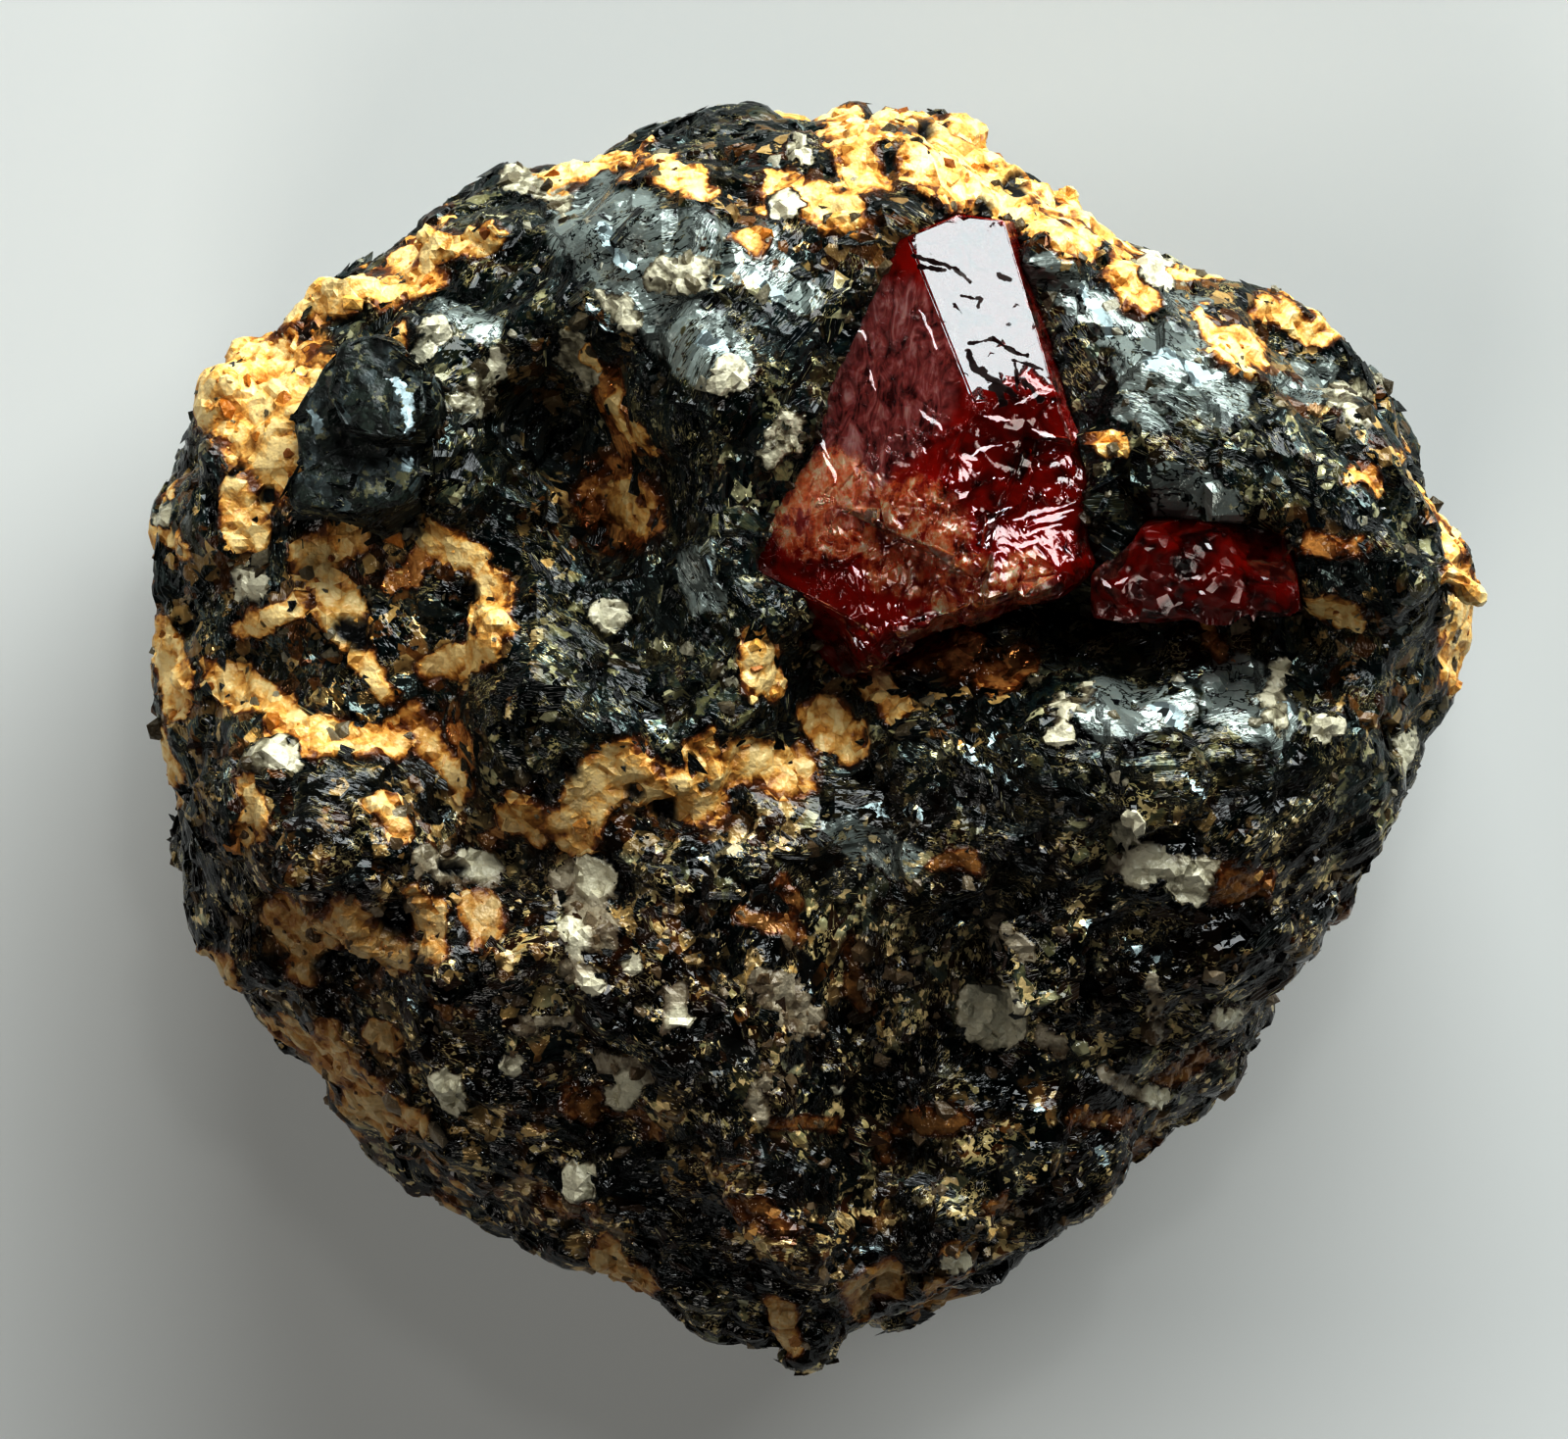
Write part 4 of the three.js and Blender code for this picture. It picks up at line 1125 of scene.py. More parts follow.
@dataclass(frozen=True)
class FloorFinish:
    """The plain pale surface that the specimen lies on."""

    colour: Colour = (0.58, 0.59, 0.58)
    glow: float = 0.22

    def material(self) -> bpy.types.Material:
        """Builds the material."""
        material, tree, shader = new_material("pale_floor")
        darker = tuple(0.97 * part for part in self.colour)
        dress(tree, shader, {
            "Base Color": tree.ramp(tree.noise(60.0), ((0.3, self.colour), (0.7, darker))),
            "Roughness": 0.9,
            "Emission Color": self.colour,
            "Emission Strength": self.glow,
        })
        return material


# ---- The rock ----


class Side(Enum):
    """The sides that the rock's flakes are split into, so that no piece grows too large."""

    UNDER = 0.0
    LEFT = 1.0
    RIGHT = 2.0


@dataclass
class Rock:
    """The CAD rock with cleavage, steps and grain worked into it, drawn up tight round the crystals.

    Lengths are in millimetres. Below top_from, only a share of the triangles is kept. The pockets leave a
    space round each crystal, which is closed with a slight overlap that tapers off over the joint.
    """

    voxel: float = 0.19
    top_from: float = 7.0
    kept: float = 0.8
    space: float = 0.3
    joint: float = 0.9
    overlap: float = 0.05
    shell: Shell = field(init=False)
    layers: np.ndarray = field(init=False)
    sheet_normal: np.ndarray = field(init=False)
    along: np.ndarray = field(init=False)
    share: dict[Mineral, np.ndarray] = field(init=False)
    lump: np.ndarray = field(init=False)
    pit: np.ndarray = field(init=False)
    seam: np.ndarray = field(init=False)
    piece: bpy.types.Object = field(init=False)

    def build(self, crystals: Sequence[str]) -> None:
        """Builds the rock's surface and what it carries.

        Args:
            crystals: The CAD nodes that sit in it.
        """
        self.shell = self.remeshed()
        gap, out = self.clearance(crystals)
        self.work(gap)
        self.draw_up(gap, out)
        mesh = self.shell.mesh("matrix")
        self.mark(mesh, gap)
        mesh.materials.append(RockFinish().material())
        self.piece = new_piece("matrix", mesh)

    def remeshed(self) -> Shell:
        """The CAD rock as an even, softened surface."""
        copy = merged_copy("matrix_rock")
        coarse = bpy.data.meshes.new("coarse_rock")
        copy.to_mesh(coarse)
        copy.free()
        work = new_piece("coarse_rock", coarse)
        remesh = work.modifiers.new("remesh", "REMESH")
        remesh.mode, remesh.voxel_size = "VOXEL", self.voxel
        shell = Shell.of(evaluated(work))
        foot = shell.points[:, 2] < 0.5 * self.voxel
        soft = shell.smoothed(shell.points, 4)
        soft[foot] = shell.points[foot]
        work.modifiers.clear()
        # This mesh, too, stays in millimetres.
        work.data = Shell(soft / MM, shell.faces).mesh("even_rock")
        under = work.vertex_groups.new(name="under")
        under.add(np.flatnonzero(soft[:, 2] < self.top_from).tolist(), 1.0, "REPLACE")
        triangulate = work.modifiers.new("triangles", "TRIANGULATE")
        triangulate.quad_method = "SHORTEST_DIAGONAL"
        thin = work.modifiers.new("thin", "DECIMATE")
        thin.ratio, thin.vertex_group, thin.vertex_group_factor = self.kept, under.name, 1.0
        shell = Shell.of(evaluated(work))
        bpy.data.objects.remove(work)
        return shell

    def clearance(self, crystals: Sequence[str]) -> tuple[np.ndarray, np.ndarray]:
        """How near the rock is to the crystals.

        Args:
            crystals: The CAD nodes that sit in it.

        Returns:
            Each point's distance from the nearest crystal, up to the joint's width, and the way out from it.
        """
        gap = np.full(len(self.shell.points), self.joint)
        out = np.zeros_like(self.shell.points)
        for name in crystals:
            solid = merged_copy(name)
            tree = BVHTree.FromBMesh(solid)
            low, high = (np.array(corner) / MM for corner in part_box(name))
            close = (self.shell.points > low - self.joint) & (self.shell.points < high + self.joint)
            for index in np.flatnonzero(np.all(close, axis=1)):
                point = Vector(self.shell.points[index])
                place, _, _, distance = tree.find_nearest(point, self.joint)
                if place is not None and distance < gap[index]:
                    gap[index] = distance
                    out[index] = (point - place) / max(distance, 1e-6)
            solid.free()
        return gap, out

    def work(self, gap: np.ndarray) -> None:
        """Works blocks, sheets and grain into the surface.

        Args:
            gap: Each point's distance from the nearest crystal.
        """
        shell = self.shell
        self.find_sheets()
        free = smoothstep(0.3, 0.55, gap) * smoothstep(0.02, 0.5, shell.points[:, 2])
        self.share_out()
        crust = np.maximum(self.share[Mineral.GOLD], self.share[Mineral.PALE])
        crust = smoothstep(0.3, 0.55, np.maximum(crust, self.share[Mineral.ORANGE]))
        sheet = smoothstep(0.35, 0.6, self.share[Mineral.SHEET])
        block, inner = Facets(size=1.6, seed=5).height(shell.points, step=0.1, lean=0.16)
        height = (block - 0.08 * (1 - inner)) * (1 - 0.6 * crust)
        height += 0.14 * Noise(4).fractal(shell.points, size=1.5)
        low = smoothstep(9.0, 5.0, shell.points[:, 2])
        height += 0.75 * low * Noise(6).fractal(shell.points, size=4.5, gain=0.6)
        shell.points = shell.points + (height * free)[:, None] * shell.normals()
        sheets, inner = Facets(size=0.8, seed=9).height(self.layers, step=0.07, lean=0.0)
        ridges = 0.1 * (0.5 - np.abs(Noise(3).fractal(self.layers, size=0.7)))
        mica = (sheets - 0.05 * (1 - inner) + ridges) * (1 - 0.85 * crust) * (1 - 0.8 * sheet)
        grain, self.seam = Facets(size=0.8, seed=12).height(shell.points, step=0.08, lean=0.1)
        pits = 0.1 * np.abs(Noise(14).fractal(shell.points, size=0.6))
        height = mica + crust * (grain + 0.08 * self.seam - pits)
        chips, _ = Facets(size=0.5, seed=16).height(shell.points, step=0.05, lean=0.3)
        height += (0.08 + 1.2 * chips) * np.sqrt(self.lump) - 0.3 * self.pit
        shell.points = shell.points + (height * free)[:, None] * shell.normals()

    def find_sheets(self) -> None:
        """Finds which way the mica's sheets lie at each point, and each point's place in those sheets."""
        shell = self.shell
        noise = Noise(21)
        sway = np.stack([noise.fractal(shell.points + shift, 3.0, 2) for shift in (0, 40)], 1)
        plan = shell.points[:, :2] + 1.1 * sway
        streams = np.array(STREAMS)
        region = np.argmin(np.linalg.norm(plan[:, None] - streams[:, :2], axis=2), axis=1)
        facing = shell.smoothed(shell.normals(), 30)
        self.layers = np.empty_like(shell.points)
        self.sheet_normal = np.empty_like(shell.points)
        self.along = np.empty_like(shell.points)
        for index, (_, _, turn) in enumerate(STREAMS):
            inside = region == index
            above = inside & (shell.points[:, 2] > 9)
            out = facing[above].mean(0) if above.any() else np.array((0.0, 0.0, 1.0))
            along = np.array((math.cos(math.radians(turn)), math.sin(math.radians(turn)), 0.0))
            along -= along @ out * out
            along /= np.linalg.norm(along)
            across = np.cross(out, along)
            dip = 0.75 * noise.cell_values(np.array([[index, 1, 2]]))[0]
            sheet = math.cos(dip) * out / np.linalg.norm(out) + math.sin(dip) * across
            side = np.cross(sheet, along)
            self.layers[inside] = shell.points[inside] @ np.stack((0.4 * along, 0.9 * side, 2.6 * sheet)).T
            self.sheet_normal[inside], self.along[inside] = sheet, along

    def draw_up(self, gap: np.ndarray, out: np.ndarray) -> None:
        """Draws the rock up to the crystals, so that they sit tight.

        Args:
            gap: Each point's distance from the nearest crystal.
            out: The way out from that crystal.
        """
        pull = (self.space + self.overlap) * (1 - smoothstep(self.space, self.joint, gap))
        self.shell.points = self.shell.points - pull[:, None] * out
        low, high = np.array(CAD_BOX) / MM
        room = 0.02 * (high - low)
        self.shell.points = np.clip(self.shell.points, low - room * (1, 1, 0), high + room)

    def share_out(self) -> None:
        """Shares the surface out among the minerals: the drawn patches on top, and random ones elsewhere."""
        points = self.shell.points
        hidden, warp = Noise(31), Noise(32)
        depth = points[:, 2] + 2.4 * hidden.fractal(points, 3.0, 3)
        top = smoothstep(4.5, 7.5, depth)
        sway = np.stack([warp.fractal(points + shift, 1.3, 3, 0.7) for shift in (0, 20, 40)], 1)
        stray = np.stack([warp.fractal(points + shift, 4.0, 2) for shift in (60, 80, 100)], 1)
        bent = points + 0.55 * sway + 3.4 * smoothstep(12.5, 6.0, depth)[:, None] * stray
        gone = smoothstep(11.0, 8.0, depth) * smoothstep(-0.05, 0.25, hidden.fractal(points + 200.0, 2.6, 3))
        self.share = {}
        for order, mineral in enumerate(Mineral):
            drawn = np.max([striped(bent, patch) for patch in PATCHES[mineral]], axis=0)
            elsewhere = smoothstep(0.1, 0.75, hidden.fractal(points + 31.0 * order, 3.4, 3))
            self.share[mineral] = drawn * top * (1 - 0.7 * gone) + elsewhere * (1 - top)
        bent = points + 0.4 * sway
        self.lump, self.pit = self.rounded(bent, LUMPS) * top, self.rounded(bent, PITS) * top
        for mineral in (Mineral.GOLD, Mineral.ORANGE):
            self.share[mineral] = self.share[mineral] * (1 - smoothstep(0.02, 0.2, self.lump))
        self.share[Mineral.PALE] = np.maximum(self.share[Mineral.PALE], 0.9 * smoothstep(0.0, 0.3, self.lump))

    def rounded(self, points: np.ndarray, spots: Sequence[Spot]) -> np.ndarray:
        """Round spots drawn in plan.

        Args:
            points: The places, N by 3, in millimetres.
            spots: Each spot's plan point and reach.

        Returns:
            1 in the middle of a spot down to 0 at its reach.
        """
        share = np.zeros(len(points))
        for x, y, reach in spots:
            distance = np.hypot(points[:, 0] - x, points[:, 1] - y)
            share = np.maximum(share, 1 - np.clip(distance / reach, 0, 1) ** 2)
        return share

    def mark(self, mesh: bpy.types.Mesh, gap: np.ndarray) -> None:
        """Puts the minerals and the places for flakes and grains on the mesh.

        Args:
            mesh: The rock's mesh.
            gap: Each point's distance from the nearest crystal.
        """
        points, share = self.shell.points, self.share
        ragged = 0.25 * Noise(33).fractal(points, 0.8, 2)
        crust = np.maximum(share[Mineral.GOLD], 0.9 * share[Mineral.ORANGE]) + ragged
        pale = share[Mineral.PALE] + ragged
        sheet = smoothstep(0.5, 0.6, share[Mineral.SHEET] + ragged)
        clear = smoothstep(0.1, 0.4, gap) * smoothstep(1.8, 3.2, points[:, 2])
        bare = smoothstep(0.42, 0.58, np.maximum(crust, pale))
        open_ground = (1 - 0.94 * bare) * (1 - 0.85 * sheet) * (1 - self.pit) * (1 - self.lump)
        joint = smoothstep(0.04, 0.12, gap) * (1 - smoothstep(0.35, 0.6, gap))
        south = smoothstep(-2.0, -6.0, points[:, 1])
        places = clear * (0.12 + 0.12 * south + 0.76 * smoothstep(0.45, 0.6, pale))
        facing = self.shell.smoothed(self.shell.normals(), 6)
        left_or_right = np.where(points[:, 0] < -0.5, Side.LEFT.value, Side.RIGHT.value)
        carry(mesh, {mineral.value: share[mineral] for mineral in Mineral})
        carry(mesh, {
            "pit": smoothstep(0.1, 0.5, self.pit),
            "lump": smoothstep(0.0, 0.4, self.lump),
            # warm rises towards the bottom, where the rock's colours are made browner and darker.
            "warm": smoothstep(1.0, -5.0, points[:, 1]),
            "seam": self.seam,
            "flakes": clear * open_ground * (1 - 0.5 * smoothstep(0.3, 0.8, share[Mineral.OCHRE])),
            "joint": joint * (points[:, 2] > 13),
            "golden": clear * smoothstep(0.45, 0.6, crust),
            "feldspar": places * (1 - smoothstep(0.0, 0.2, self.lump)),
            "layers": self.layers,
            "facing": facing / np.linalg.norm(facing, axis=1, keepdims=True),
            "cleavage": self.sheet_normal,
            "along": self.along,
            "side": np.where(points[:, 2] < 8.6, Side.UNDER.value, left_or_right),
        })


# ---- What is scattered over the rock ----


class Shape(Enum):
    """The shapes that are scattered."""

    FLAKE = "flake"
    GRAIN = "grain"


@dataclass
class Scatter:
    """Small pieces scattered over the rock by Geometry Nodes, joined to one mesh.

    Lengths are in millimetres, and the density is a number for each square millimetre.
    """

    name: str
    shape: Shape
    places: str
    density: float
    smallest: float
    largest: float
    thickness: float
    jitter: float
    sink: float
    seed: int
    stretch: float = 1.0
    spin: float = math.pi
    cleave: float = 0.0
    side: Side | None = None
    variants: int = 5

    def build(self, rock: bpy.types.Object, material: bpy.types.Material) -> bpy.types.Object:
        """Scatters the pieces.

        Args:
            rock: The rock, whose mesh says where they go.
            material: Their material.

        Returns:
            The finished mesh object.
        """
        group = self.tree(material)
        carrier = new_piece(self.name, rock.data.copy())
        modifier = carrier.modifiers.new("scatter", "NODES")
        modifier.node_group = group
        sizes = self.sizes()
        for item in group.interface.items_tree:
            if item.name in sizes:
                modifier[item.identifier] = sizes[item.name]
        mesh = evaluated(carrier)
        carrier.modifiers.clear()
        carrier.data = mesh
        mesh.name = self.name
        mesh.materials.clear()
        mesh.materials.append(material)
        mesh.polygons.foreach_set("material_index", np.zeros(len(mesh.polygons), dtype=np.int32))
        return carrier

    def sizes(self) -> dict[str, float]:
        """What the node tree's inputs take, by name, with lengths in metres."""
        return {
            "Density": self.density / MM**2, "Smallest": self.smallest * MM, "Largest": self.largest * MM,
            "Thickness": self.thickness, "Jitter": self.jitter, "Sink": self.sink, "Stretch": self.stretch,
            "Spin": self.spin, "Cleave": self.cleave,
        }

    def tree(self, material: bpy.types.Material) -> bpy.types.NodeTree:
        """Builds the node tree.

        Args:
            material: The pieces' material.

        Returns:
            The tree.
        """
        group = bpy.data.node_groups.new(self.name, "GeometryNodeTree")
        group.interface.new_socket("Geometry", in_out="INPUT", socket_type="NodeSocketGeometry")
        for name in self.sizes():
            group.interface.new_socket(name, in_out="INPUT", socket_type="NodeSocketFloat")
        group.interface.new_socket("Geometry", in_out="OUTPUT", socket_type="NodeSocketGeometry")
        tree = Tree(group)
        given = tree.node("NodeGroupInput").outputs
        wanted = tree.carried(self.places)
        if self.side is not None:
            wanted = wanted * tree.math("COMPARE", tree.carried("side"), self.side.value, 0.4)
        points = tree.value("GeometryNodeDistributePointsOnFaces", "Points", None, {
            "Mesh": given["Geometry"], "Density": wanted * given["Density"], "Seed": self.seed,
        })
        size = self.random(tree, 0.0, 1.0, 1)
        length = given["Smallest"] + (Value(tree, given["Largest"]) - given["Smallest"]) * size**2.2
        jitter = self.random(tree, (-1.0, -1.0, -1.0), (1.0, 1.0, 1.0), 2)
        lean = tree.vector("SCALE", jitter, given["Jitter"])
        cleave = self.random(tree, 0.0, 1.0, 7) ** 1.5 * given["Cleave"]
        cleavage = tree.vector("SCALE", tree.carried("cleavage", "FLOAT_VECTOR"), cleave)
        facing = tree.vector("ADD", tree.carried("facing", "FLOAT_VECTOR"), cleavage)
        facing = tree.vector("ADD", facing, lean)
        aligned = tree.value("FunctionNodeAlignRotationToVector", 0, {"axis": "Z"}, {"Vector": facing})
        aligned = tree.value("FunctionNodeAlignRotationToVector", 0, {"axis": "X", "pivot_axis": "Z"}, {
            "Rotation": aligned, "Vector": tree.carried("along", "FLOAT_VECTOR"),
        })
        spin = (self.random(tree, -1.0, 1.0, 3) + self.random(tree, -1.0, 1.0, 8)) * 0.5 * given["Spin"]
        turn = tree.value("FunctionNodeAxisAngleToRotation", 0, None, {
            "Axis": (0.0, 0.0, 1.0), "Angle": spin,
        })
        rotation = tree.value("FunctionNodeRotateRotation", 0, {"rotation_space": "LOCAL"}, {
            "Rotation": aligned, "Rotate By": turn,
        })
        stretch = self.random(tree, (0.7, 0.7, 0.8), (1.25, 1.25, 1.25), 4)
        flat = tree.value("ShaderNodeCombineXYZ", 0, None, {
            "X": length * given["Stretch"], "Y": length / given["Stretch"], "Z": length * given["Thickness"],
        })
        scale = tree.vector("MULTIPLY", flat, stretch)
        placed = tree.value("GeometryNodeInstanceOnPoints", 0, None, {
            "Points": points, "Rotation": rotation, "Scale": scale, "Instance": self.shapes(tree),
            "Pick Instance": True, "Instance Index": self.random(tree, 0, self.variants - 1, 5),
        })
        down = tree.vector("SCALE", (0.0, 0.0, -1.0), given["Sink"])
        sunk = tree.value("GeometryNodeTranslateInstances", 0, None, {
            "Instances": placed, "Translation": down, "Local Space": True,
        })
        toned = tree.store(sunk, "tone", "FLOAT", "INSTANCE", self.random(tree, 0.0, 1.0, 6))
        real = tree.value("GeometryNodeRealizeInstances", 0, None, {"Geometry": toned})
        dressed = tree.value("GeometryNodeSetMaterial", 0, None, {"Geometry": real, "Material": material})
        tree.node("NodeGroupOutput", None, {0: dressed})
        return group

    def shapes(self, tree: Tree) -> bpy.types.NodeSocket:
        """The shapes that are picked from: irregular plates or lumps of about unit size, each an instance.

        Args:
            tree: The tree.

        Returns:
            The shapes.
        """
        joined = tree.node("GeometryNodeJoinGeometry")
        for variant in range(self.variants):
            if self.shape is Shape.FLAKE:
                body = tree.value("GeometryNodeMeshCone", 0, {"fill_type": "NGON"}, {
                    "Vertices": 5 + variant % 3, "Radius Top": 0.0, "Radius Bottom": 0.5, "Depth": 1.0,
                })
                body = tree.value("GeometryNodeTransform", 0, None, {
                    "Geometry": body, "Rotation": (math.pi, 0.0, 0.0),
                })
                reach = (0.13, 0.13, 0.0)
            else:
                body = tree.value("GeometryNodeMeshIcoSphere", 0, None, {"Radius": 0.5, "Subdivisions": 1})
                reach = (0.14, 0.14, 0.14)
            push = self.random(tree, tuple(-part for part in reach), reach, 10 + variant)
            bent = tree.value("GeometryNodeSetPosition", 0, None, {"Geometry": body, "Offset": push})
            position = tree.value("GeometryNodeInputPosition", 0)
            kept = tree.store(bent, "own", "FLOAT_VECTOR", "POINT", position)
            flat = tree.value("GeometryNodeSetShadeSmooth", 0, None, {0: kept, "Shade Smooth": False})
            tree.feed(joined.inputs[0], tree.value("GeometryNodeGeometryToInstance", 0, None, {0: flat}))
        return joined.outputs[0]

    def random(self, tree: Tree, low: Any, high: Any, seed: int) -> Value:
        """A random number, whole number or vector, as the limits are, for each piece.

        Args:
            tree: The tree.
            low: The least it can be.
            high: The most it can be.
            seed: A number that tells it from the others.

        Returns:
            The random value.
        """
        kinds = {float: ("FLOAT", 1, 2), int: ("INT", 2, 4), tuple: ("FLOAT_VECTOR", 0, 0)}
        kind, output, limits = kinds[type(low)]
        values = {limits: low, limits + 1: high, 8: self.seed * 100 + seed}
        return tree.value("FunctionNodeRandomValue", output, {"data_type": kind}, values)


# ---- Crystals ----


def refined(solid: bmesh.types.BMesh, longest: float, name: str) -> Shell:
    """Cuts a solid's triangles until no edge is long, and frees the solid.

    Args:
        solid: The solid, in millimetres.
        longest: The longest edge that is left.
        name: A name for the mesh that it passes through.

    Returns:
        The surface.
    """
    bmesh.ops.triangulate(solid, faces=solid.faces)
    for _ in range(8):
        long = [edge for edge in solid.edges if edge.calc_length() > longest]
        if not long:
            break
        bmesh.ops.subdivide_edges(solid, edges=long, cuts=1)
        bmesh.ops.triangulate(solid, faces=solid.faces)
    bmesh.ops.recalc_face_normals(solid, faces=solid.faces)
    mesh = bpy.data.meshes.new(name)
    solid.to_mesh(mesh)
    solid.free()
    return Shell.of(mesh)


def near(points: np.ndarray, balls: Sequence[Ball]) -> np.ndarray:
    """How near points are to balls.

    Args:
        points: The places, N by 3, in millimetres.
        balls: Each ball's middle and reach.

    Returns:
        1 in the middle of a ball down to 0 at its reach.
    """
    share = np.zeros(len(points))
    for x, y, z, reach in balls:
        distance = np.linalg.norm(points - (x, y, z), axis=1)
        share = np.maximum(share, 1 - smoothstep(0.4 * reach, reach, distance))
    return share


@dataclass
class Crystal:
    """A CAD crystal with worn edges, and with hollows and steps worked into its broken places."""

    node: str
    finish: ZirconFinish
    fineness: float
    wear: float
    window: Point3 = (0.0, 0.0, 0.0)
    seed: int = 41
    soft: tuple[Ball, ...] = ()
    swell: float = 0.0
    broken: tuple[Ball, ...] = ()
    worn: tuple[Ball, ...] = ()
    clouds: tuple[Ball, ...] = ()
    hazes: tuple[Ball, ...] = ()
    dim: tuple[Ball, ...] = ()

    def build(self) -> None:
        """Builds the crystal and its finish."""
        solid = merged_copy(self.node)
        bmesh.ops.dissolve_limit(solid, angle_limit=math.radians(1.0), verts=solid.verts, edges=solid.edges)
        bmesh.ops.bevel(
            solid, geom=solid.edges[:], offset=self.wear, segments=2, affect="EDGES", clamp_overlap=True,
        )
        shell = refined(solid, self.fineness, self.node + "_cut")
        soft = near(shell.points, self.soft)[:, None]
        rounded = shell.smoothed(shell.points, 12) + self.swell * shell.normals()
        shell.points = shell.points + soft * (rounded - shell.points)
        normals = shell.normals()
        broken = near(shell.points, self.broken)
        steps, _ = Facets(size=1.3, seed=self.seed).height(shell.points, step=0.08, lean=0.22)
        hollows = 0.16 * np.abs(Noise(42).fractal(shell.points, size=1.3))
        uneven = 0.06 * Noise(44).fractal(shell.points, size=2.2, layers=2)
        uneven += 0.02 * Noise(43).fractal(shell.points, size=0.8, layers=2)
        glass = smoothstep(0.95, 0.99, normals @ self.window)
        worn = (0.45 + 0.3 * Noise(45).fractal(shell.points, size=0.9)) * near(shell.points, self.worn)
        rough = (steps - hollows) * broken + uneven * (1 - 0.85 * glass) - worn
        shell.points = shell.points + rough[:, None] * normals
        mesh = shell.mesh(self.node + "_look")
        carry(mesh, {
            "window": glass,
            "broken": broken,
            "cloud": near(shell.points, self.clouds),
            "haze": near(shell.points, self.hazes),
            "dim": 0.75 * near(shell.points, self.dim),
        })
        mesh.materials.append(self.finish.material())
        settle(new_piece(self.node + "_look", mesh), "zircon", self.node)


@dataclass
class MicaBook:
    """The black mica crystal: a worn stack of plates whose sheets part a little along its sides."""

    node: str = "mica_crystal"
    fineness: float = 0.13
    facing: Point3 = (-0.22, 0.3, 0.93)

    def build(self) -> bpy.types.Object:
        """Builds the crystal and its finish."""
        shell = refined(merged_copy(self.node), self.fineness, "mica_book_cut")
        shell.points = shell.smoothed(shell.points, 9)
        out = np.array(self.facing) / np.linalg.norm(self.facing)
        along = np.cross(out, (0.0, 1.0, 0.0))
        along /= np.linalg.norm(along)
        layers = shell.points @ np.stack((0.5 * along, 0.5 * np.cross(out, along), 3.5 * out)).T
        normals = shell.normals()
        side = 1 - np.abs(normals @ out)
        parting = 0.12 * Noise(51).fractal(layers, size=0.8, layers=2) * side
        broad = Noise(52).fractal(shell.points, size=1.3)
        grain = Noise(54).fractal(shell.points, size=0.4, layers=2)
        terrace = 0.07 * np.floor(4 * Noise(53).fractal(shell.points, size=1.5, layers=2)) / 2
        height = parting + terrace * (1 - side) + 0.22 * broad + 0.05 * grain
        shell.points = shell.points + height[:, None] * normals
        mesh = shell.mesh("mica_book")
        carry(mesh, {
            "layers": layers,
            "flakes": 0.3 + 0.7 * smoothstep(0.1, 0.5, side),
            "facing": normals,
            "cleavage": np.tile(out, (len(layers), 1)),
            "along": np.tile(along, (len(layers), 1)),
            "warm": np.zeros(len(layers)),
        })
        mesh.materials.append(BookFinish().material())
        return settle(new_piece("mica_book", mesh), "mica", self.node)


# ---- Studio ----


@dataclass
class Studio:
    """A pale floor, soft lights and the camera, which looks straight down. Lengths are in metres."""

    camera_place: Point3 = (-0.00057, 0.00026, 0.614)
    lens: float = 567.0
    floor_reach: float = 3.0
    ambient: Colour = (0.42, 0.44, 0.45)

    def build(self) -> None:
        """Builds the studio."""
        self.add_camera()
        self.add_floor()
        self.add_light("key", (0.36, 0.84, 0.51), (1.26, 0.78), 20.0, (0.95, 0.99, 1.0))
        self.add_light("near_fill", (-0.16, -0.52, 0.6), (0.28, 0.28), 1.0, (1.0, 0.97, 0.92))
        self.add_light("left_fill", (-0.64, 0.1, 0.4), (0.28, 0.28), 0.85, (1.0, 0.97, 0.93))
        self.add_light("spark", (0.03, 0.12, 0.42), (0.03, 0.03), 0.07, (1.0, 1.0, 1.0))
        world = bpy.data.worlds.new("studio")
        world.use_nodes = True
        background = world.node_tree.nodes["Background"]
        background.inputs["Color"].default_value = (*self.ambient, 1.0)
        background.inputs["Strength"].default_value = 0.05
        bpy.context.scene.world = world
        view = bpy.context.scene.view_settings
        view.view_transform, view.gamma, view.exposure = "Standard", 0.6, 0.35

    def add_camera(self) -> None:
        """Adds the camera."""
        camera = bpy.data.cameras.new("camera")
        camera.sensor_width, camera.lens = 36.0, self.lens
        camera.clip_start, camera.clip_end = 0.01, 10.0
        piece = bpy.data.objects.new("camera", camera)
        piece.location = self.camera_place
        bpy.context.scene.collection.objects.link(piece)
        bpy.context.scene.camera = piece

    def add_floor(self) -> None:
        """Adds the floor."""
        reach = self.floor_reach
        mesh = bpy.data.meshes.new("floor")
        corners = [(-reach, -reach, 0), (reach, -reach, 0), (reach, reach, 0), (-reach, reach, 0)]
        mesh.from_pydata(corners, [], [(0, 1, 2, 3)])
        mesh.materials.append(FloorFinish().material())
        new_piece("floor", mesh)

    def add_light(self, name: str, place: Point3, size: Point2, power: float, colour: Colour) -> None:
        """Adds a soft rectangular light that faces the specimen.

        Args:
            name: The light's name.
            place: Where it hangs.
            size: Its width and height.
            power: Its power in watts.
            colour: Its colour.
        """
        light = bpy.data.lights.new(name, "AREA")
        light.shape, light.size, light.size_y = "RECTANGLE", *size
        light.energy, light.color = power, colour
        piece = bpy.data.objects.new(name, light)
        piece.location = place
        piece.rotation_euler = (-Vector(place)).to_track_quat("-Z", "Y").to_euler()
        bpy.context.scene.collection.objects.link(piece)


# ---- The specimen ----


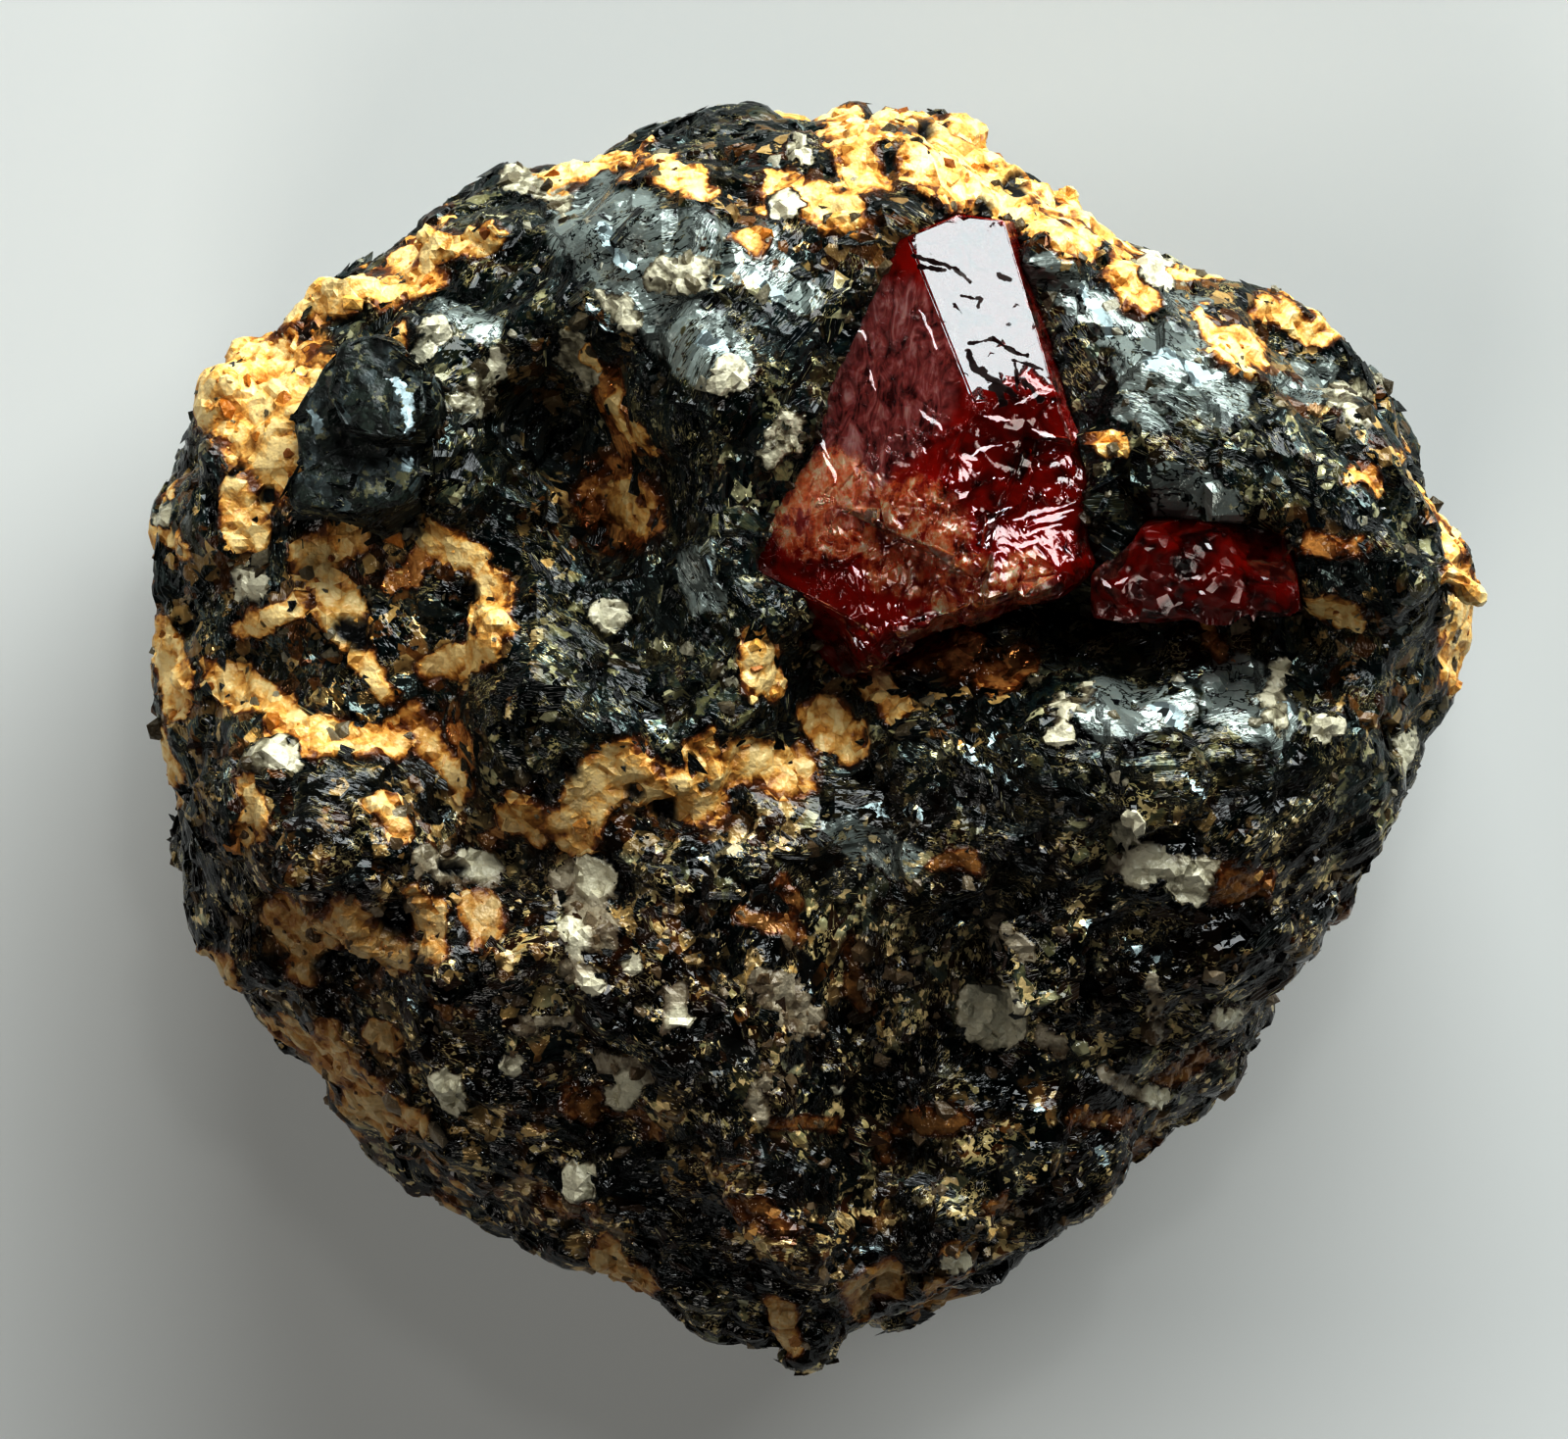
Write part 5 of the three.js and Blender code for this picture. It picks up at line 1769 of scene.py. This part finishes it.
def add_zircons() -> None:
    """Builds the large and the small zircon."""
    Crystal(
        "zircon_large",
        ZirconFinish("zircon_main", cracks=LARGE_CRACKS, gashes=LARGE_GASHES, slivers=LARGE_SLIVERS),
        fineness=0.22, wear=0.04, window=(0.2, 0.5, 0.84), swell=0.55,
        soft=((2.6, 2.2, 16.4, 2.0), (4.2, 2.7, 16.4, 2.1), (5.6, 3.4, 16.3, 1.9)),
        broken=((3.4, 3.9, 18.3, 4.2), (5.6, 6.4, 17.4, 2.7)), dim=((4.9, 7.1, 17.8, 1.5),),
        clouds=(
            (0.5, 5.4, 17.3, 2.0), (2.4, 4.6, 18.2, 2.1), (3.8, 3.4, 18.4, 1.4), (5.2, 3.6, 17.4, 1.1),
            (3.0, 2.8, 17.2, 1.1),
        ),
        hazes=((1.6, 8.6, 16.8, 3.4), (0.4, 6.4, 16.9, 2.6)),
    ).build()
    Crystal(
        "zircon_small",
        ZirconFinish("zircon_minor", matte=0.16, gloss=0.3, slivers=SMALL_SLIVERS, cloud=(
            (0.1, 0.004, 0.002), (0.28, 0.035, 0.012), (0.45, 0.15, 0.08),
        )),
        fineness=0.14, wear=0.06, seed=47,
        soft=((9.4, 4.0, 16.5, 9.0),), broken=((9.3, 3.6, 17.4, 3.4),), dim=((9.4, 4.0, 17.0, 9.0),),
        worn=((11.6, 5.3, 17.0, 1.9), (7.0, 5.0, 16.8, 1.3), (6.9, 2.7, 17.4, 0.8)),
        clouds=((11.4, 4.3, 17.0, 1.1), (7.4, 4.0, 17.0, 0.8)),
    ).build()


def add_flakes(rock: bpy.types.Object, book: bpy.types.Object) -> None:
    """Scatters mica flakes.

    Args:
        rock: The rock.
        book: The mica book.
    """
    material = FlakeFinish().material()
    for name, ground, side, density, seed in (
        ("flakes_under", rock, Side.UNDER, 4.0, 61),
        ("flakes_left", rock, Side.LEFT, 7.0, 62),
        ("flakes_right", rock, Side.RIGHT, 7.0, 63),
        ("flakes_book", book, None, 9.0, 66),
    ):
        settle(Scatter(
            name, Shape.FLAKE, "flakes", density, smallest=0.2, largest=0.85, thickness=0.14, jitter=0.12,
            sink=0.42, seed=seed, stretch=1.4, spin=0.9, cleave=0.7, side=side,
        ).build(ground, material), "matrix_rock")


def add_grains(rock: bpy.types.Object) -> None:
    """Scatters the crumbs in the joints, the golden grains and the pale grains.

    Args:
        rock: The rock.
    """
    for scatter, finish in (
        (
            Scatter(
                "joint_crumbs", Shape.GRAIN, "joint", 9.0, smallest=0.12, largest=0.55, thickness=0.7,
                jitter=1.2, sink=0.3, seed=67,
            ),
            GrainFinish("dark_crumbs", (
                (0.003, 0.005, 0.004), (0.012, 0.014, 0.008), (0.06, 0.035, 0.015), (0.3, 0.25, 0.15),
            ), 0.2),
        ),
        (
            Scatter(
                "golden_grains", Shape.GRAIN, "golden", 1.6, smallest=0.12, largest=0.55, thickness=0.8,
                jitter=0.6, sink=0.36, seed=64,
            ),
            GrainFinish("golden_crust", (
                (0.25, 0.08, 0.012), (0.6, 0.28, 0.05), (0.88, 0.56, 0.18), (0.93, 0.76, 0.4),
            ), 0.3),
        ),
        (
            Scatter(
                "pale_grains", Shape.GRAIN, "feldspar", 3.5, smallest=0.14, largest=0.7, thickness=0.75,
                jitter=0.8, sink=0.34, seed=65,
            ),
            GrainFinish("feldspar", (
                (0.08, 0.06, 0.03), (0.22, 0.18, 0.11), (0.42, 0.38, 0.27), (0.75, 0.73, 0.6),
            ), 0.2, 0.4),
        ),
    ):
        settle(scatter.build(rock, finish.material()), "matrix_rock")


def main() -> None:
    """Builds the specimen and the studio, piece by piece."""
    logging.basicConfig(level=logging.INFO, format="%(message)s", stream=sys.stdout)
    Studio().build()
    rock = Rock()
    rock.build(("zircon_large", "zircon_small", "mica_crystal"))
    add_zircons()
    book = MicaBook().build()
    add_flakes(rock.piece, book)
    add_grains(rock.piece)
    settle(rock.piece, "matrix_rock", "matrix_rock")


if __name__ == "__main__":
    main()
